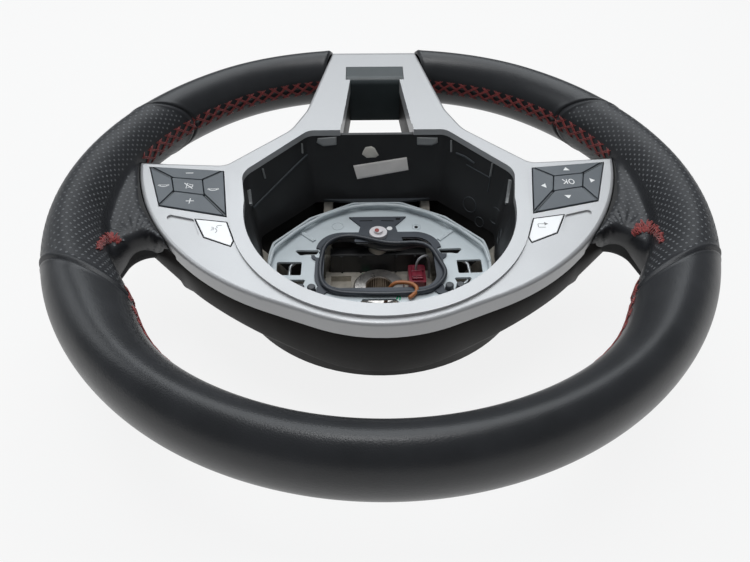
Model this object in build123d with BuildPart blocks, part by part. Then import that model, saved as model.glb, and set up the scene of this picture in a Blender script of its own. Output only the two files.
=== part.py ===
"""Car steering wheel: leather rim, silver three-spoke bezel, switch pads and an open airbag well.

Millimetres. The origin is the middle of the hub's back face, +Z points to the driver and +Y to 12 o'clock.
"""
import os
from math import ceil, cos, exp, radians, sin, tan

from build123d import *

# Rim
RIM_RADIUS = 185.0
RIM_WIDTH = 28.6
RIM_HEIGHT = 40.0
RIM_PLANE = 92.0
RIM_FLAT = 6.0
FLAT_SPAN = 40.0
THUMB_BULGE = 8.0
THUMB_ANGLE = 30.0
THUMB_SPAN = 14.0
STATION_STEP = 9.0
RIM_SECTION = [
    (1.0, 0.0), (0.76, 0.68), (0.12, 1.0), (-0.62, 0.72),
    (-1.0, 0.05), (-0.74, -0.66), (0.0, -1.0), (0.74, -0.66),
]

# Leather and foam
LEATHER = 1.4
GLUE = 0.3
SEAM_LOW = -35.5
SEAM_HIGH_OUTSIDE = 20.5
SEAM_HIGH_INSIDE = 35.0
ROOT_DEPTH = 27.0
ROOT_ROUND = 7.0
CROTCH_ROUND = 11.0
ROOT_RISE = 0.8
CROTCH = (141.0, 21.0)
ROOT_EDGE = (108.0, 37.0)
FOAM_END = -75.0

# Bezel, seen from the driver's side
AIRBAG_RADIUS = 80.3
RING_WIDTH = 12.2
SHOULDER_OUT = 4.7
SHOULDER_DROP = 26.0
OPENING_RISE = 11.8
OPENING_CORNER = 46.0
FLANK_ANGLE = 67.0
FLANK_LENGTH = 28.0
WING_TIP_ANGLE = -14.8
WING_BOW = 18.7
WING_FAR = 36.5
LEG_HALF_TOP = 48.5
LEG_HALF_END = 33.0
WINDOW_HALF_TOP = 24.7
WINDOW_HALF_END = 18.2
INSERT_HALF = 21.4
INSERT_FACE = 131.0
INSERT_BACK = 148.0
INSERT_HEIGHT = 33.0
BAND_WIDTH = 8.0
BAND_RISE = 1.8
BEZEL_WALL = 2.4
SKIRT = 10.0
BEZEL_EDGE = 2.2
FACE_NEAR = -9.2
FACE_MIDDLE = 2.0
FACE_LEG = 17.0
FACE_FOOT = 6.0

# Rear cover, airbag well and armature
COVER_WALL = 2.4
COVER_DEPTH = 94.0
COVER_BASE = 60.0
COVER_SHIFT = 6.0
COVER_ROUND = 4.5
COLUMN_HOLE = 38.0
WELL_WALL = 2.2
WELL_TAPER = 7.0
CARRIER_DEPTH = 50.0
CORE_HALF = 5.5
ARM_THICKNESS = 6.5
ARM_WIDTH = 20.0
ARM_MIDDLE = -6.0
LEG_ARM_WIDTH = 6.5
LEG_ARM_ANGLE = 4.9
LEG_ARM_START = 35.6
HUB_FLANGE = 48.0
HUB_FLANGE_THICKNESS = 5.0
HUB_LENGTH = 20.0
SLEEVE_RADIUS = 17.3
BORE_RADIUS = 9.25
SCREW_CIRCLE = 43.0
SCREW_RADIUS = 2.0
SCREW_HEAD = 4.0
SCREW_SINK = 1.6
SCREW_LENGTH = 5.0
HUB_BLOCK_WIDTH = 74.0
HUB_BLOCK_DEPTH = 44.0
HUB_BLOCK_MIDDLE = 2.0
HUB_BLOCK_HEIGHT = 14.6
HUB_POCKET_X = 26.0
HUB_POCKET_Y = -6.5
HUB_POCKET_WIDTH = 14.0
HUB_POCKET_DEPTH = 18.0
HUB_EAR_SPAN = 100.0
HUB_EAR_DEPTH = 14.0
HUB_EAR_MIDDLE = 29.0
HUB_EAR_THICKNESS = 4.0
POST_RADIUS = 7.0

# Airbag carrier
SHEET = 1.5
CARRIER_RADIUS = 71.5
CARRIER_FAR = 58.0
CARRIER_FLANGE = 5.0
MAT = 1.2
WIRE_RADIUS = 1.1
PEG_RADIUS = 2.6
PEG_RISE = 3.0
PEGS = [(49.4, 26), (42.6, 26.2), (-49.4, 26), (-42.6, 26.2)]
CONTACT = (0, -26.4)
POSTS = [(46, 29), (-46, 29), CONTACT]
HUB_VIEW_WIDTH = 74.0
HUB_VIEW_DEPTH = 51.0
HUB_VIEW_MIDDLE = 1.0
HUB_VIEW_ROUND = 13.0
MAT_BORDER = 4.5
MAT_LIP = 1.2
MAT_EAR = (39.5, -6.0)
MAT_EAR_RADIUS = 5.0
MAT_EAR_HOLE = 2.7
CONTACT_PAD = [(15, -20), (12, -36), (20, -46), (-20, -46), (-12, -36), (-15, -20)]
NEAR_SLOT = [(15, 40), (11, 34), (-9, 34), (-13, 40)]
SLOTS = [
    [(56.3, -12.5), (39, -12), (41.5, -7), (52, -7.2)],
    [(66.5, -1), (50.3, -0.6), (50.2, 12), (65.9, 11.6)],
    [(58.6, 15.8), (46.8, 16), (48.9, 22.4), (55, 22.3)],
]
PLUG = (-25.8, -5.3)
PLUG_WIDTH = 11.5
PLUG_DEPTH = 17.5
PLUG_HEIGHT = 11.0
LEAD_RADIUS = 1.3
THIN_LEAD_RADIUS = 0.9

# Switches
WING_TILT = 5.07
WING_RISE = -1.6
PAD_FAR_OUT = (143.5, -34.5)
PAD_FAR_IN = (96.8, -29.6)
PAD_NEAR_IN = (89.5, 12.1)
PAD_NEAR_OUT = (130.1, 2.1)
MID_FAR_OUT = (127.7, -23.5)
MID_FAR_IN = (108.4, -20.8)
MID_NEAR_IN = (105.0, -6.7)
MID_NEAR_OUT = (123.9, -10.5)
SILVER_KEY = [(107.0, 13.9), (88.4, 17.0), (82.6, 32.0), (83.6, 36.4), (99.5, 29.0)]
DISH = [(126.3, 8.2), (108.0, 13.6), (101.2, 30.2), (109.7, 27.2), (117.2, 22.1)]
DISH_DEPTH = 1.2
DISH_ROUND = 2.0
KEY_RISE = 0.6
KEY_DEPTH = 3.4
KEY_TRAVEL = 1.0
KEY_GAP = 0.5
KEY_ROUND = 0.4
SILVER_RISE = 0.3
RIB = 0.8
RIB_END = 0.6
RIB_LIFT = 0.2
HOUSING_WALL = 1.2
KEY_MAT = 1.4
BOARD = 1.6
CLEARANCE = 0.4

# Worked out from the sizes above
RIM_INNER = RIM_RADIUS - RIM_WIDTH
RIM_FOOT = RIM_RADIUS - RIM_FLAT
CORE_CIRCLE = RIM_RADIUS - RIM_WIDTH / 2 - 1.7
RING_OUTER = AIRBAG_RADIUS + RING_WIDTH
OPENING_FAR = AIRBAG_RADIUS - OPENING_RISE
COVER_FAR = OPENING_FAR + WELL_WALL + CLEARANCE + COVER_WALL
COVER_FLOOR = RIM_PLANE - COVER_DEPTH
CARRIER_Z = RIM_PLANE - CARRIER_DEPTH
FLANGE_Z = COVER_FLOOR + COVER_WALL
POST_FOOT = FLANGE_Z + HUB_BLOCK_HEIGHT - HUB_EAR_THICKNESS
HOUSING_TOP = BEZEL_WALL + CLEARANCE
MAT_TOP = KEY_DEPTH + KEY_TRAVEL + CLEARANCE
BOARD_BOTTOM = MAT_TOP + KEY_MAT + BOARD
HOUSING_BOTTOM = BOARD_BOTTOM + HOUSING_WALL
STANDING = (Align.CENTER, Align.CENTER, Align.MIN)
SIDES = [1, -1]
WING = Plane(
    origin=(0, 0, RIM_PLANE + WING_RISE),
    x_dir=(1, 0, 0),
    z_dir=(0, sin(radians(WING_TILT)), cos(radians(WING_TILT))),
)


def polar(radius, angle):
    """Point in the rim's plane at a radius and an angle from the x axis."""
    return Vector(radius * cos(radians(angle)), radius * sin(radians(angle)), 0)


def from_top(angle):
    """How far an angle lies from 12 o'clock."""
    return abs((angle + 90) % 360 - 180)


def rim_outer(angle):
    """Outer radius of the rim, flattened at 6 o'clock."""
    off = min(180 - from_top(angle), FLAT_SPAN)
    return RIM_RADIUS - RIM_FLAT * cos(radians(90 * off / FLAT_SPAN)) ** 2


def rim_width(angle):
    """Width of the rim's section, which swells inwards at the thumb rests."""
    off = from_top(angle) - (90 - THUMB_ANGLE)
    return RIM_WIDTH + THUMB_BULGE * exp(-((off / THUMB_SPAN) ** 2))


def rim_station(angle):
    """Plane across the rim: x points out from the steering axis and y to the driver."""
    out = polar(1, angle)
    middle = out * (rim_outer(angle) - rim_width(angle) / 2) + Vector(0, 0, RIM_PLANE)
    return Plane(origin=middle, x_dir=out, z_dir=(out.Y, -out.X, 0))


def add_rim(start, stop, inset, mode=Mode.ADD):
    """Loft the rim's section between two angles, inset from the leather's face."""
    steps = ceil((stop - start) / STATION_STEP)
    sections = []
    for step in range(steps + 1):
        angle = start + (stop - start) * step / steps
        half_width = rim_width(angle) / 2 - inset
        half_height = RIM_HEIGHT / 2 - inset
        with BuildSketch(rim_station(angle)) as section:
            with BuildLine():
                Spline([(u * half_width, v * half_height) for u, v in RIM_SECTION], periodic=True)
            make_face()
        sections.append(section.sketch)
    loft(sections, mode=mode)


def upright(start, end):
    """Upright plane through two points of the plan, facing to the left of the way from start to end."""
    way = (end - start).normalized()
    return Plane(origin=start, x_dir=way, z_dir=(-way.Y, way.X, 0))


def at_height(sketch, y):
    """Corners of a sketch at one y."""
    return sketch.vertices().filter_by(lambda corner: abs(corner.Y - y) < 0.01)


def mirrored(piece):
    """The same piece on the driver's left."""
    with BuildPart() as other:
        mirror(piece.part, about=Plane.YZ)
    return other


FLANK_START = polar(RING_OUTER, FLANK_ANGLE)
FLANK_END = FLANK_START + polar(FLANK_LENGTH, FLANK_ANGLE - 90)
WING_TIP = polar(RIM_INNER - CLEARANCE, WING_TIP_ANGLE)
LEG_TOP = Vector(LEG_HALF_TOP, -(RING_OUTER + 2.5), 0)
LEG_END = Vector(LEG_HALF_END, -(RIM_FOOT - RIM_WIDTH / 2), 0)
LEG_FOOT = LEG_END + (LEG_END - LEG_TOP) * ((RIM_FOOT + LEG_END.Y) / (LEG_TOP.Y - LEG_END.Y))
SHOULDER = polar(RING_OUTER + 1, -51.5)
SEAM_HIGH = upright(
    polar(RIM_RADIUS, SEAM_HIGH_OUTSIDE), polar(RIM_INNER - THUMB_BULGE, SEAM_HIGH_INSIDE)
)
LEG_SIDE = upright(LEG_TOP, LEG_END)


def bezel_plan(grow=0.0):
    """Outline of the bezel without its openings."""
    with BuildSketch() as plan:
        with BuildLine():
            CenterArc((0, 0), RING_OUTER, 90, FLANK_ANGLE - 90)
            Line(FLANK_START, FLANK_END)
            SagittaArc(FLANK_END, WING_TIP, WING_BOW)
            Polyline(
                WING_TIP, (RING_OUTER + 4.5, -WING_FAR), SHOULDER, LEG_TOP, LEG_FOOT, (0, -RIM_FOOT)
            )
            mirror(about=Plane.YZ)
        make_face()
        fillet(at_height(plan, -WING_FAR), 10)
        fillet(at_height(plan, SHOULDER.Y), 25)
        fillet(at_height(plan, LEG_TOP.Y), 30)
        fillet(at_height(plan, -RIM_FOOT), 4)
        if grow:
            offset(amount=grow, mode=Mode.REPLACE)
    return plan.sketch


def opening_plan(grow=0.0):
    """Outline of the airbag's opening, round above and tapering to the legs."""
    with BuildSketch() as plan:
        with BuildLine():
            CenterArc((0, 0), AIRBAG_RADIUS, 90, -90)
            Polyline(
                (AIRBAG_RADIUS, 0), (AIRBAG_RADIUS + SHOULDER_OUT, -SHOULDER_DROP),
                (OPENING_CORNER, -OPENING_FAR), (0, -OPENING_FAR)
            )
            mirror(about=Plane.YZ)
        make_face()
        fillet(at_height(plan, -SHOULDER_DROP), 14)
        fillet(at_height(plan, -OPENING_FAR), 9)
        if grow:
            offset(amount=grow, mode=Mode.REPLACE)
    return plan.sketch


def window_plan(start, grow=0.0):
    """Outline of the gap between the legs, from a distance below the axis to the insert's seat."""
    with BuildSketch() as plan:
        with BuildLine():
            Polyline(
                (0, -start), (WINDOW_HALF_TOP, -start), (WINDOW_HALF_END, -INSERT_FACE),
                (INSERT_HALF, -INSERT_FACE), (INSERT_HALF, -INSERT_BACK), (0, -INSERT_BACK)
            )
            mirror(about=Plane.YZ)
        make_face()
        if grow:
            offset(amount=grow, kind=Kind.INTERSECTION, mode=Mode.REPLACE)
    return plan.sketch


def face_slab(top, bottom):
    """Side view of a layer between two depths below the bezel's face."""
    near = Vector(RING_OUTER + 7.5, RIM_PLANE + FACE_NEAR)
    middle = Vector(-40, RIM_PLANE + FACE_MIDDLE)
    leg = Vector(LEG_END.Y, RIM_PLANE + FACE_LEG)
    foot = Vector(-RIM_FOOT - 1, RIM_PLANE + FACE_FOOT)
    with BuildSketch(Plane.YZ.offset(-RIM_RADIUS)) as slab:
        with BuildLine():
            down = Vector(0, -top)
            ThreePointArc(near + down, middle + down, leg + down)
            SagittaArc(leg + down, foot + down, -2.5)
            down = Vector(0, -bottom)
            Line(foot + Vector(0, -top), foot + down)
            SagittaArc(foot + down, leg + down, 2.5)
            ThreePointArc(leg + down, middle + down, near + down)
            Line(near + down, near + Vector(0, -top))
        make_face()
    return slab.sketch


def layer(plan, top, bottom):
    """Solid with a plan outline between two depths below the bezel's face."""
    with BuildPart() as solid:
        extrude(plan, amount=2 * RIM_PLANE)
        extrude(face_slab(top, bottom), amount=2 * RIM_RADIUS, mode=Mode.INTERSECT)
    return solid


def pad_sketch(corners, grow):
    """Outline on the wing's face, grown or shrunk."""
    with BuildSketch(WING) as plan:
        Polygon(*corners, align=None)
        offset(amount=grow, kind=Kind.INTERSECTION, mode=Mode.REPLACE)
    return plan.sketch


PAD = [PAD_FAR_OUT, PAD_FAR_IN, PAD_NEAR_IN, PAD_NEAR_OUT]
MIDDLE_KEY = [MID_FAR_OUT, MID_FAR_IN, MID_NEAR_IN, MID_NEAR_OUT]


def core_ring(grow):
    """Ring of the armature inside the rim."""
    with BuildPart() as core:
        with BuildSketch(Plane.XY.offset(RIM_PLANE)):
            Circle(CORE_CIRCLE + CORE_HALF + grow)
            Circle(CORE_CIRCLE - CORE_HALF - grow, mode=Mode.SUBTRACT)
        extrude(amount=CORE_HALF + grow, both=True)
    return core


# Bezel
core_passage = core_ring(CLEARANCE)
with BuildSketch() as hollow:
    add(bezel_plan(-BEZEL_WALL))
    add(window_plan(COVER_FAR + BEZEL_WALL, BEZEL_WALL), mode=Mode.SUBTRACT)
bezel_outer = layer(bezel_plan(), 0, SKIRT)
bezel_hollow = layer(hollow.sketch, BEZEL_WALL, SKIRT + 5)
bezel_band = layer(opening_plan(BAND_WIDTH), -BAND_RISE, BEZEL_WALL)
with BuildSketch() as dish_plan:
    Polygon(*DISH, align=None)
    fillet(dish_plan.vertices(), DISH_ROUND)
dish_right = layer(dish_plan.sketch, -SKIRT, DISH_DEPTH)
dish_left = mirrored(dish_right)

with BuildPart() as trim_bezel:
    add(bezel_outer.part)
    face = trim_bezel.faces().filter_by(lambda side: side.area > 2 * RIM_RADIUS * SKIRT).sort_by(Axis.Z)[-1]
    fillet(face.edges(), BEZEL_EDGE)
    add(bezel_hollow.part, mode=Mode.SUBTRACT)
    add(bezel_band.part)
    for outline in [opening_plan(), window_plan(OPENING_FAR - 1)]:
        extrude(outline, amount=2 * RIM_PLANE, mode=Mode.SUBTRACT)
    for corners in [PAD, SILVER_KEY]:
        pocket = pad_sketch(corners, CLEARANCE)
        for side in [pocket, mirror(pocket, about=Plane.YZ, mode=Mode.PRIVATE)]:
            extrude(side, amount=SKIRT, both=True, mode=Mode.SUBTRACT)
    for cutter in [dish_right, dish_left, core_passage]:
        add(cutter.part, mode=Mode.SUBTRACT)


def well_body(grow):
    """Tapering space of the airbag, grown by a wall."""
    with BuildPart() as body:
        for height in [FACE_LEG, -(CARRIER_DEPTH - 2)]:
            add(Pos(0, 0, RIM_PLANE + height) * opening_plan(grow + height * tan(radians(WELL_TAPER))))
        loft(ruled=True)
    return body


well_outside = well_body(CLEARANCE + WELL_WALL)
well_inside = well_body(CLEARANCE)
with BuildPart() as airbag_well:
    add(well_outside.part)
    extrude(face_slab(BEZEL_WALL, 2 * CARRIER_DEPTH), amount=2 * RIM_RADIUS, mode=Mode.INTERSECT)
    add(well_inside.part, mode=Mode.SUBTRACT)


def side_view(points, inset):
    """Upright outline above a run of points in the y-z plane."""
    lifted = [(y, RIM_PLANE + z + inset) for y, z in points]
    with BuildSketch(Plane.YZ.offset(-RIM_RADIUS)) as view:
        Polygon(*lifted, (lifted[-1][0], 2 * RIM_PLANE), (lifted[0][0], 2 * RIM_PLANE), align=None)
    return view.sketch


def front_view(points, inset):
    """Upright outline above a run of points in the x-z plane, mirrored to both sides."""
    lifted = [(x, RIM_PLANE + z + inset) for x, z in points]
    other = [(-x, z) for x, z in reversed(lifted)]
    top = [(-RIM_RADIUS, 2 * RIM_PLANE), (RIM_RADIUS, 2 * RIM_PLANE)]
    with BuildSketch(Plane.XZ.offset(-RIM_RADIUS)) as view:
        Polygon(*lifted, *reversed(top), *other, align=None)
    return view.sketch


COVER_SIDE = [
    (RING_OUTER + 8, -32), (45, -34), (2, -56), (-COVER_FAR - 4, -58), (-120, -27), (-INSERT_BACK, -22),
    (-RIM_FOOT - 1, -RIM_HEIGHT / 2)
]
COVER_FRONT = [(RING_OUTER + 2.5, -60), (RING_OUTER + 30, -34), (RIM_RADIUS, -28)]


def cover_blank(inset):
    """Rear cover filled in: a round tub with a tray behind each spoke."""
    with BuildSketch() as plan:
        add(bezel_plan(-CLEARANCE - inset))
        add(window_plan(COVER_FAR, CLEARANCE + inset), mode=Mode.SUBTRACT)
    with BuildPart() as blank:
        extrude(plan.sketch, amount=2 * RIM_PLANE)
        extrude(side_view(COVER_SIDE, inset), amount=2 * RIM_RADIUS, mode=Mode.INTERSECT)
        extrude(front_view(COVER_FRONT, inset), amount=2 * RIM_RADIUS, mode=Mode.INTERSECT)
        if not inset:
            under = blank.faces().filter_by(lambda side: side.normal_at().Z < -0.3)
            fillet(under.edges(), COVER_ROUND)
    return blank


def tub_blank(inset):
    """Round tub behind the hub, slanting in below the carrier and flat towards the window."""
    wall = RING_OUTER - CLEARANCE - inset
    with BuildPart() as tub:
        with BuildSketch(Plane.XY.offset(CARRIER_Z)):
            Circle(wall)
        extrude(amount=CARRIER_DEPTH)
        with BuildSketch(Plane.XY.offset(CARRIER_Z)):
            Circle(wall)
        with BuildSketch(Plane.XY.offset(COVER_FLOOR + inset)):
            with Locations((0, -COVER_SHIFT)):
                Circle(COVER_BASE - inset)
        loft()
        fillet(tub.edges().filter_by(GeomType.CIRCLE).group_by(Axis.Z)[0], COVER_ROUND)
        with Locations((0, -(COVER_FAR - inset), RIM_PLANE)):
            Box(
                2 * RIM_RADIUS, RIM_RADIUS, 4 * RIM_PLANE, align=(Align.CENTER, Align.MAX, Align.CENTER),
                mode=Mode.SUBTRACT
            )
    return tub


def wing_arm(side, grow):
    """Arm of the armature from the hub to one side of the rim."""
    route = [
        (38, -87), (59, -83), (RING_OUTER - 21, -65), (RING_OUTER - 4.5, -44), (RING_OUTER + 6.5, -25),
        (RIM_INNER - 8, -20), (CORE_CIRCLE, -2)
    ]
    with BuildPart() as arm:
        with BuildSketch(Plane.XZ.offset(-ARM_MIDDLE)):
            with BuildLine():
                Polyline(*[(side * x, RIM_PLANE + z) for x, z in route])
                offset(amount=ARM_THICKNESS / 2 + grow, side=Side.BOTH)
            make_face()
        extrude(amount=ARM_WIDTH / 2 + grow, both=True)
    return arm


def leg_arm(side, grow):
    """Arm of the armature from the hub to the bottom of the rim on one side."""
    route = [(28, -87), (44, -83), (62, -62), (76, -40), (100, -24), (135, -12), (CORE_CIRCLE - 3, -1)]
    turn = side * radians(LEG_ARM_ANGLE)
    start = (side * LEG_ARM_START + 60 * tan(turn), 0, RIM_PLANE)
    plane = Plane(origin=start, x_dir=(-sin(turn), -cos(turn), 0), z_dir=(-cos(turn), sin(turn), 0))
    with BuildPart() as arm:
        with BuildSketch(plane):
            with BuildLine():
                Polyline(*route)
                offset(amount=ARM_THICKNESS / 2 + grow, side=Side.BOTH)
            make_face()
        extrude(amount=LEG_ARM_WIDTH / 2 + grow, both=True)
    return arm


# Rear cover
cover_outside = cover_blank(0)
cover_inside = cover_blank(COVER_WALL)
tub_outside = tub_blank(0)
tub_inside = tub_blank(COVER_WALL)
arm_passages = [wing_arm(side, CLEARANCE) for side in SIDES]
with BuildPart() as rear_cover:
    add(cover_outside.part)
    add(tub_outside.part)
    extrude(face_slab(SKIRT, 3 * RIM_PLANE), amount=2 * RIM_RADIUS, mode=Mode.INTERSECT)
    add(cover_inside.part, mode=Mode.SUBTRACT)
    add(tub_inside.part, mode=Mode.SUBTRACT)
    for passage in arm_passages:
        add(passage.part, mode=Mode.SUBTRACT)
    add(core_passage.part, mode=Mode.SUBTRACT)
    with Locations((0, 0, COVER_FLOOR)):
        Cylinder(COLUMN_HOLE, 2 * COVER_WALL, align=STANDING, mode=Mode.SUBTRACT)
        with PolarLocations(SCREW_CIRCLE, 4):
            Cylinder(SCREW_RADIUS + CLEARANCE, 2 * COVER_WALL, align=STANDING, mode=Mode.SUBTRACT)
            Cylinder(SCREW_HEAD + CLEARANCE, SCREW_SINK, align=STANDING, mode=Mode.SUBTRACT)

with BuildPart() as cover_screws:
    with Locations((0, 0, COVER_FLOOR + SCREW_SINK)):
        with PolarLocations(SCREW_CIRCLE, 4):
            Cylinder(SCREW_HEAD, SCREW_SINK - CLEARANCE, align=(Align.CENTER, Align.CENTER, Align.MAX))
            Cylinder(SCREW_RADIUS, SCREW_LENGTH, align=STANDING)

# Armature
core = core_ring(0)
bones = [arm(side, 0) for arm in [wing_arm, leg_arm] for side in SIDES]
with BuildPart() as armature:
    add(core.part)
    with Locations((0, 0, FLANGE_Z)):
        Cylinder(HUB_FLANGE, HUB_FLANGE_THICKNESS, align=STANDING)
        with Locations((0, HUB_BLOCK_MIDDLE)):
            Box(HUB_BLOCK_WIDTH, HUB_BLOCK_DEPTH, HUB_BLOCK_HEIGHT, align=STANDING)
        with Locations((0, HUB_EAR_MIDDLE, HUB_BLOCK_HEIGHT)):
            Box(HUB_EAR_SPAN, HUB_EAR_DEPTH, HUB_EAR_THICKNESS, align=(Align.CENTER, Align.CENTER, Align.MAX))
        with Locations(*[(x, y, HUB_BLOCK_HEIGHT - HUB_EAR_THICKNESS) for x, y in POSTS]):
            Cylinder(POST_RADIUS, CARRIER_Z - SHEET - POST_FOOT, align=STANDING)
    for bone in bones:
        add(bone.part)
    with Locations((HUB_POCKET_X, HUB_POCKET_Y, FLANGE_Z + HUB_BLOCK_HEIGHT)):
        Box(HUB_POCKET_WIDTH, HUB_POCKET_DEPTH, 2 * HUB_FLANGE_THICKNESS, mode=Mode.SUBTRACT)
    Cylinder(SLEEVE_RADIUS, 3 * HUB_LENGTH, mode=Mode.SUBTRACT)
    with Locations((0, 0, FLANGE_Z)):
        with PolarLocations(SCREW_CIRCLE, 4):
            Cylinder(SCREW_RADIUS, 3 * HUB_FLANGE_THICKNESS, mode=Mode.SUBTRACT)

with BuildPart() as hub_sleeve:
    Cylinder(SLEEVE_RADIUS, HUB_LENGTH, align=STANDING)
    chamfer(hub_sleeve.edges().group_by(Axis.Z)[-1], 1)
    Cylinder(BORE_RADIUS, 3 * HUB_LENGTH, mode=Mode.SUBTRACT)


# Leather and foam
def root_blank(inset, trim):
    """Padded root of the right spoke between the bezel's wing and the rim."""
    with BuildSketch(WING.offset(ROOT_RISE - inset)) as plan:
        with BuildLine():
            Polyline(
                (WING_TIP.X - 30, WING_TIP.Y - 2), polar(CORE_CIRCLE, WING_TIP_ANGLE - 1.5),
                polar(CORE_CIRCLE, 0), polar(CORE_CIRCLE, THUMB_ANGLE / 2),
                polar(RIM_INNER + 4, THUMB_ANGLE - 10), CROTCH, ROOT_EDGE, close=True
            )
        make_face()
        fillet(at_height(plan, CROTCH[1]), CROTCH_ROUND)
        offset(amount=-inset, mode=Mode.REPLACE)
    with BuildPart() as root:
        extrude(plan.sketch, amount=-(ROOT_DEPTH - 2 * inset))
        fillet(root.faces().filter_by(WING).edges(), ROOT_ROUND - inset)
        if trim:
            extrude(bezel_plan(trim), amount=2 * RIM_PLANE, mode=Mode.SUBTRACT)
    return root


root_skin = root_blank(0, GLUE)
root_hollow = root_blank(LEATHER, 0)
root_core = root_blank(LEATHER + GLUE, 2 * GLUE)

with BuildPart() as leather_grip_right:
    add_rim(SEAM_LOW, SEAM_HIGH_INSIDE + 15, 0)
    add(root_skin.part)
    add_rim(SEAM_LOW - 3, SEAM_HIGH_INSIDE + 18, LEATHER, mode=Mode.SUBTRACT)
    add(root_hollow.part, mode=Mode.SUBTRACT)
    split(bisect_by=SEAM_HIGH, keep=Keep.TOP)
leather_grip_left = mirrored(leather_grip_right)

with BuildPart() as leather_top:
    add_rim(SEAM_HIGH_OUTSIDE - 10, 90, 0)
    add_rim(SEAM_HIGH_OUTSIDE - 12, 92, LEATHER, mode=Mode.SUBTRACT)
    split(bisect_by=SEAM_HIGH, keep=Keep.BOTTOM)
    mirror(about=Plane.YZ)

with BuildPart() as leather_lower_right:
    add_rim(-84, SEAM_LOW, 0)
    add_rim(-87, SEAM_LOW + 3, LEATHER, mode=Mode.SUBTRACT)
    split(bisect_by=LEG_SIDE.offset(GLUE), keep=Keep.TOP)
leather_lower_left = mirrored(leather_lower_right)

with BuildPart() as rim_foam:
    add_rim(FOAM_END, 180 - FOAM_END, LEATHER + GLUE)
    add(root_core.part)
    mirror(root_core.part, about=Plane.YZ)
    add(armature.part, mode=Mode.SUBTRACT)

# Insert between the legs
with BuildSketch() as insert_plan:
    with Locations((0, -(INSERT_FACE + INSERT_BACK) / 2)):
        Rectangle(2 * (INSERT_HALF - GLUE), INSERT_BACK - INSERT_FACE - GLUE)
with BuildSketch() as insert_inside:
    add(insert_plan.sketch)
    offset(amount=-BEZEL_WALL, mode=Mode.REPLACE)
insert_block = layer(insert_plan.sketch, 0, INSERT_HEIGHT)
insert_hollow = layer(insert_inside.sketch, BEZEL_WALL, 2 * INSERT_HEIGHT)
with BuildPart() as spoke_insert:
    add(insert_block.part)
    fillet(spoke_insert.faces().sort_by(Axis.Z)[-1].edges().sort_by(Axis.Y)[-1], 5)
    add(insert_hollow.part, mode=Mode.SUBTRACT)

# Airbag carrier and what lies on it
with BuildSketch() as carrier_plan:
    with BuildLine():
        CenterArc((0, 0), CARRIER_RADIUS, 90, -102)
        Polyline(
            polar(CARRIER_RADIUS, -12), (47, -41), (17, -CARRIER_FAR), (0, -CARRIER_FAR)
        )
        mirror(about=Plane.YZ)
    make_face()
    fillet(carrier_plan.vertices().filter_by(lambda corner: corner.Y < -1), 6)
with BuildSketch() as hub_view:
    with Locations((0, HUB_VIEW_MIDDLE)):
        RectangleRounded(HUB_VIEW_WIDTH, HUB_VIEW_DEPTH, HUB_VIEW_ROUND)
    Polygon(*CONTACT_PAD, align=None, mode=Mode.SUBTRACT)
with BuildSketch() as slots:
    for corners in SLOTS:
        Polygon(*corners, align=None)
    fillet(slots.vertices(), 1.2)
    mirror(about=Plane.YZ)

with BuildPart() as airbag_carrier:
    with BuildSketch(Plane.XY.offset(CARRIER_Z)) as sheet:
        add(carrier_plan.sketch)
    extrude(amount=-SHEET)
    with BuildSketch(Plane.XY.offset(CARRIER_Z)) as lip:
        add(carrier_plan.sketch)
        offset(carrier_plan.sketch, amount=-SHEET, mode=Mode.SUBTRACT)
    extrude(amount=CARRIER_FLANGE)
    with BuildSketch(Plane.XY.offset(CARRIER_Z)) as cuts:
        add(hub_view.sketch)
        add(slots.sketch)
        Polygon(*NEAR_SLOT, align=None)
        with Locations(*PEGS):
            Circle(PEG_RADIUS + GLUE)
    extrude(amount=2 * SHEET, both=True, mode=Mode.SUBTRACT)

with BuildPart() as horn_mat:
    with BuildSketch(Plane.XY.offset(CARRIER_Z)) as mat:
        offset(hub_view.sketch, amount=MAT_BORDER)
        with Locations(MAT_EAR, (-MAT_EAR[0], MAT_EAR[1])):
            Circle(MAT_EAR_RADIUS)
        for side in SIDES:
            Polygon((side * 28, 24), (side * 34, 18), (side * 47, 33), (side * 43, 37), align=None)
        Polygon(*CONTACT_PAD, align=None)
        offset(hub_view.sketch, amount=-MAT_LIP, mode=Mode.SUBTRACT)
        offset(slots.sketch, amount=1, mode=Mode.SUBTRACT)
        with Locations(MAT_EAR):
            Circle(MAT_EAR_HOLE, mode=Mode.SUBTRACT)
        with Locations(*PEGS):
            Circle(PEG_RADIUS + 2 * GLUE, mode=Mode.SUBTRACT)
    extrude(amount=MAT)

with BuildPart() as horn_contact:
    with Locations((*CONTACT, CARRIER_Z + MAT)):
        Cylinder(6, 2.4, align=STANDING)
        Cylinder(3, 4, align=STANDING)

with BuildPart() as guide_pegs:
    with Locations((0, 0, CARRIER_Z - SHEET)):
        with Locations(*PEGS):
            Cylinder(PEG_RADIUS, SHEET + MAT + PEG_RISE, align=STANDING)
    fillet(guide_pegs.edges().group_by(Axis.Z)[-1], 1)

with BuildPart() as retaining_spring_right:
    with BuildLine(Plane.XY.offset(CARRIER_Z - SHEET - WIRE_RADIUS)) as wire:
        FilletPolyline((41, -9.3), (50, -9.3), (58, 1), (58, 11), (54, 19.4), (44, 19.4), radius=4)
    with BuildSketch(Plane(origin=wire.line @ 0, z_dir=wire.line % 0)):
        Circle(WIRE_RADIUS)
    sweep()
retaining_spring_left = mirrored(retaining_spring_right)

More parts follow.
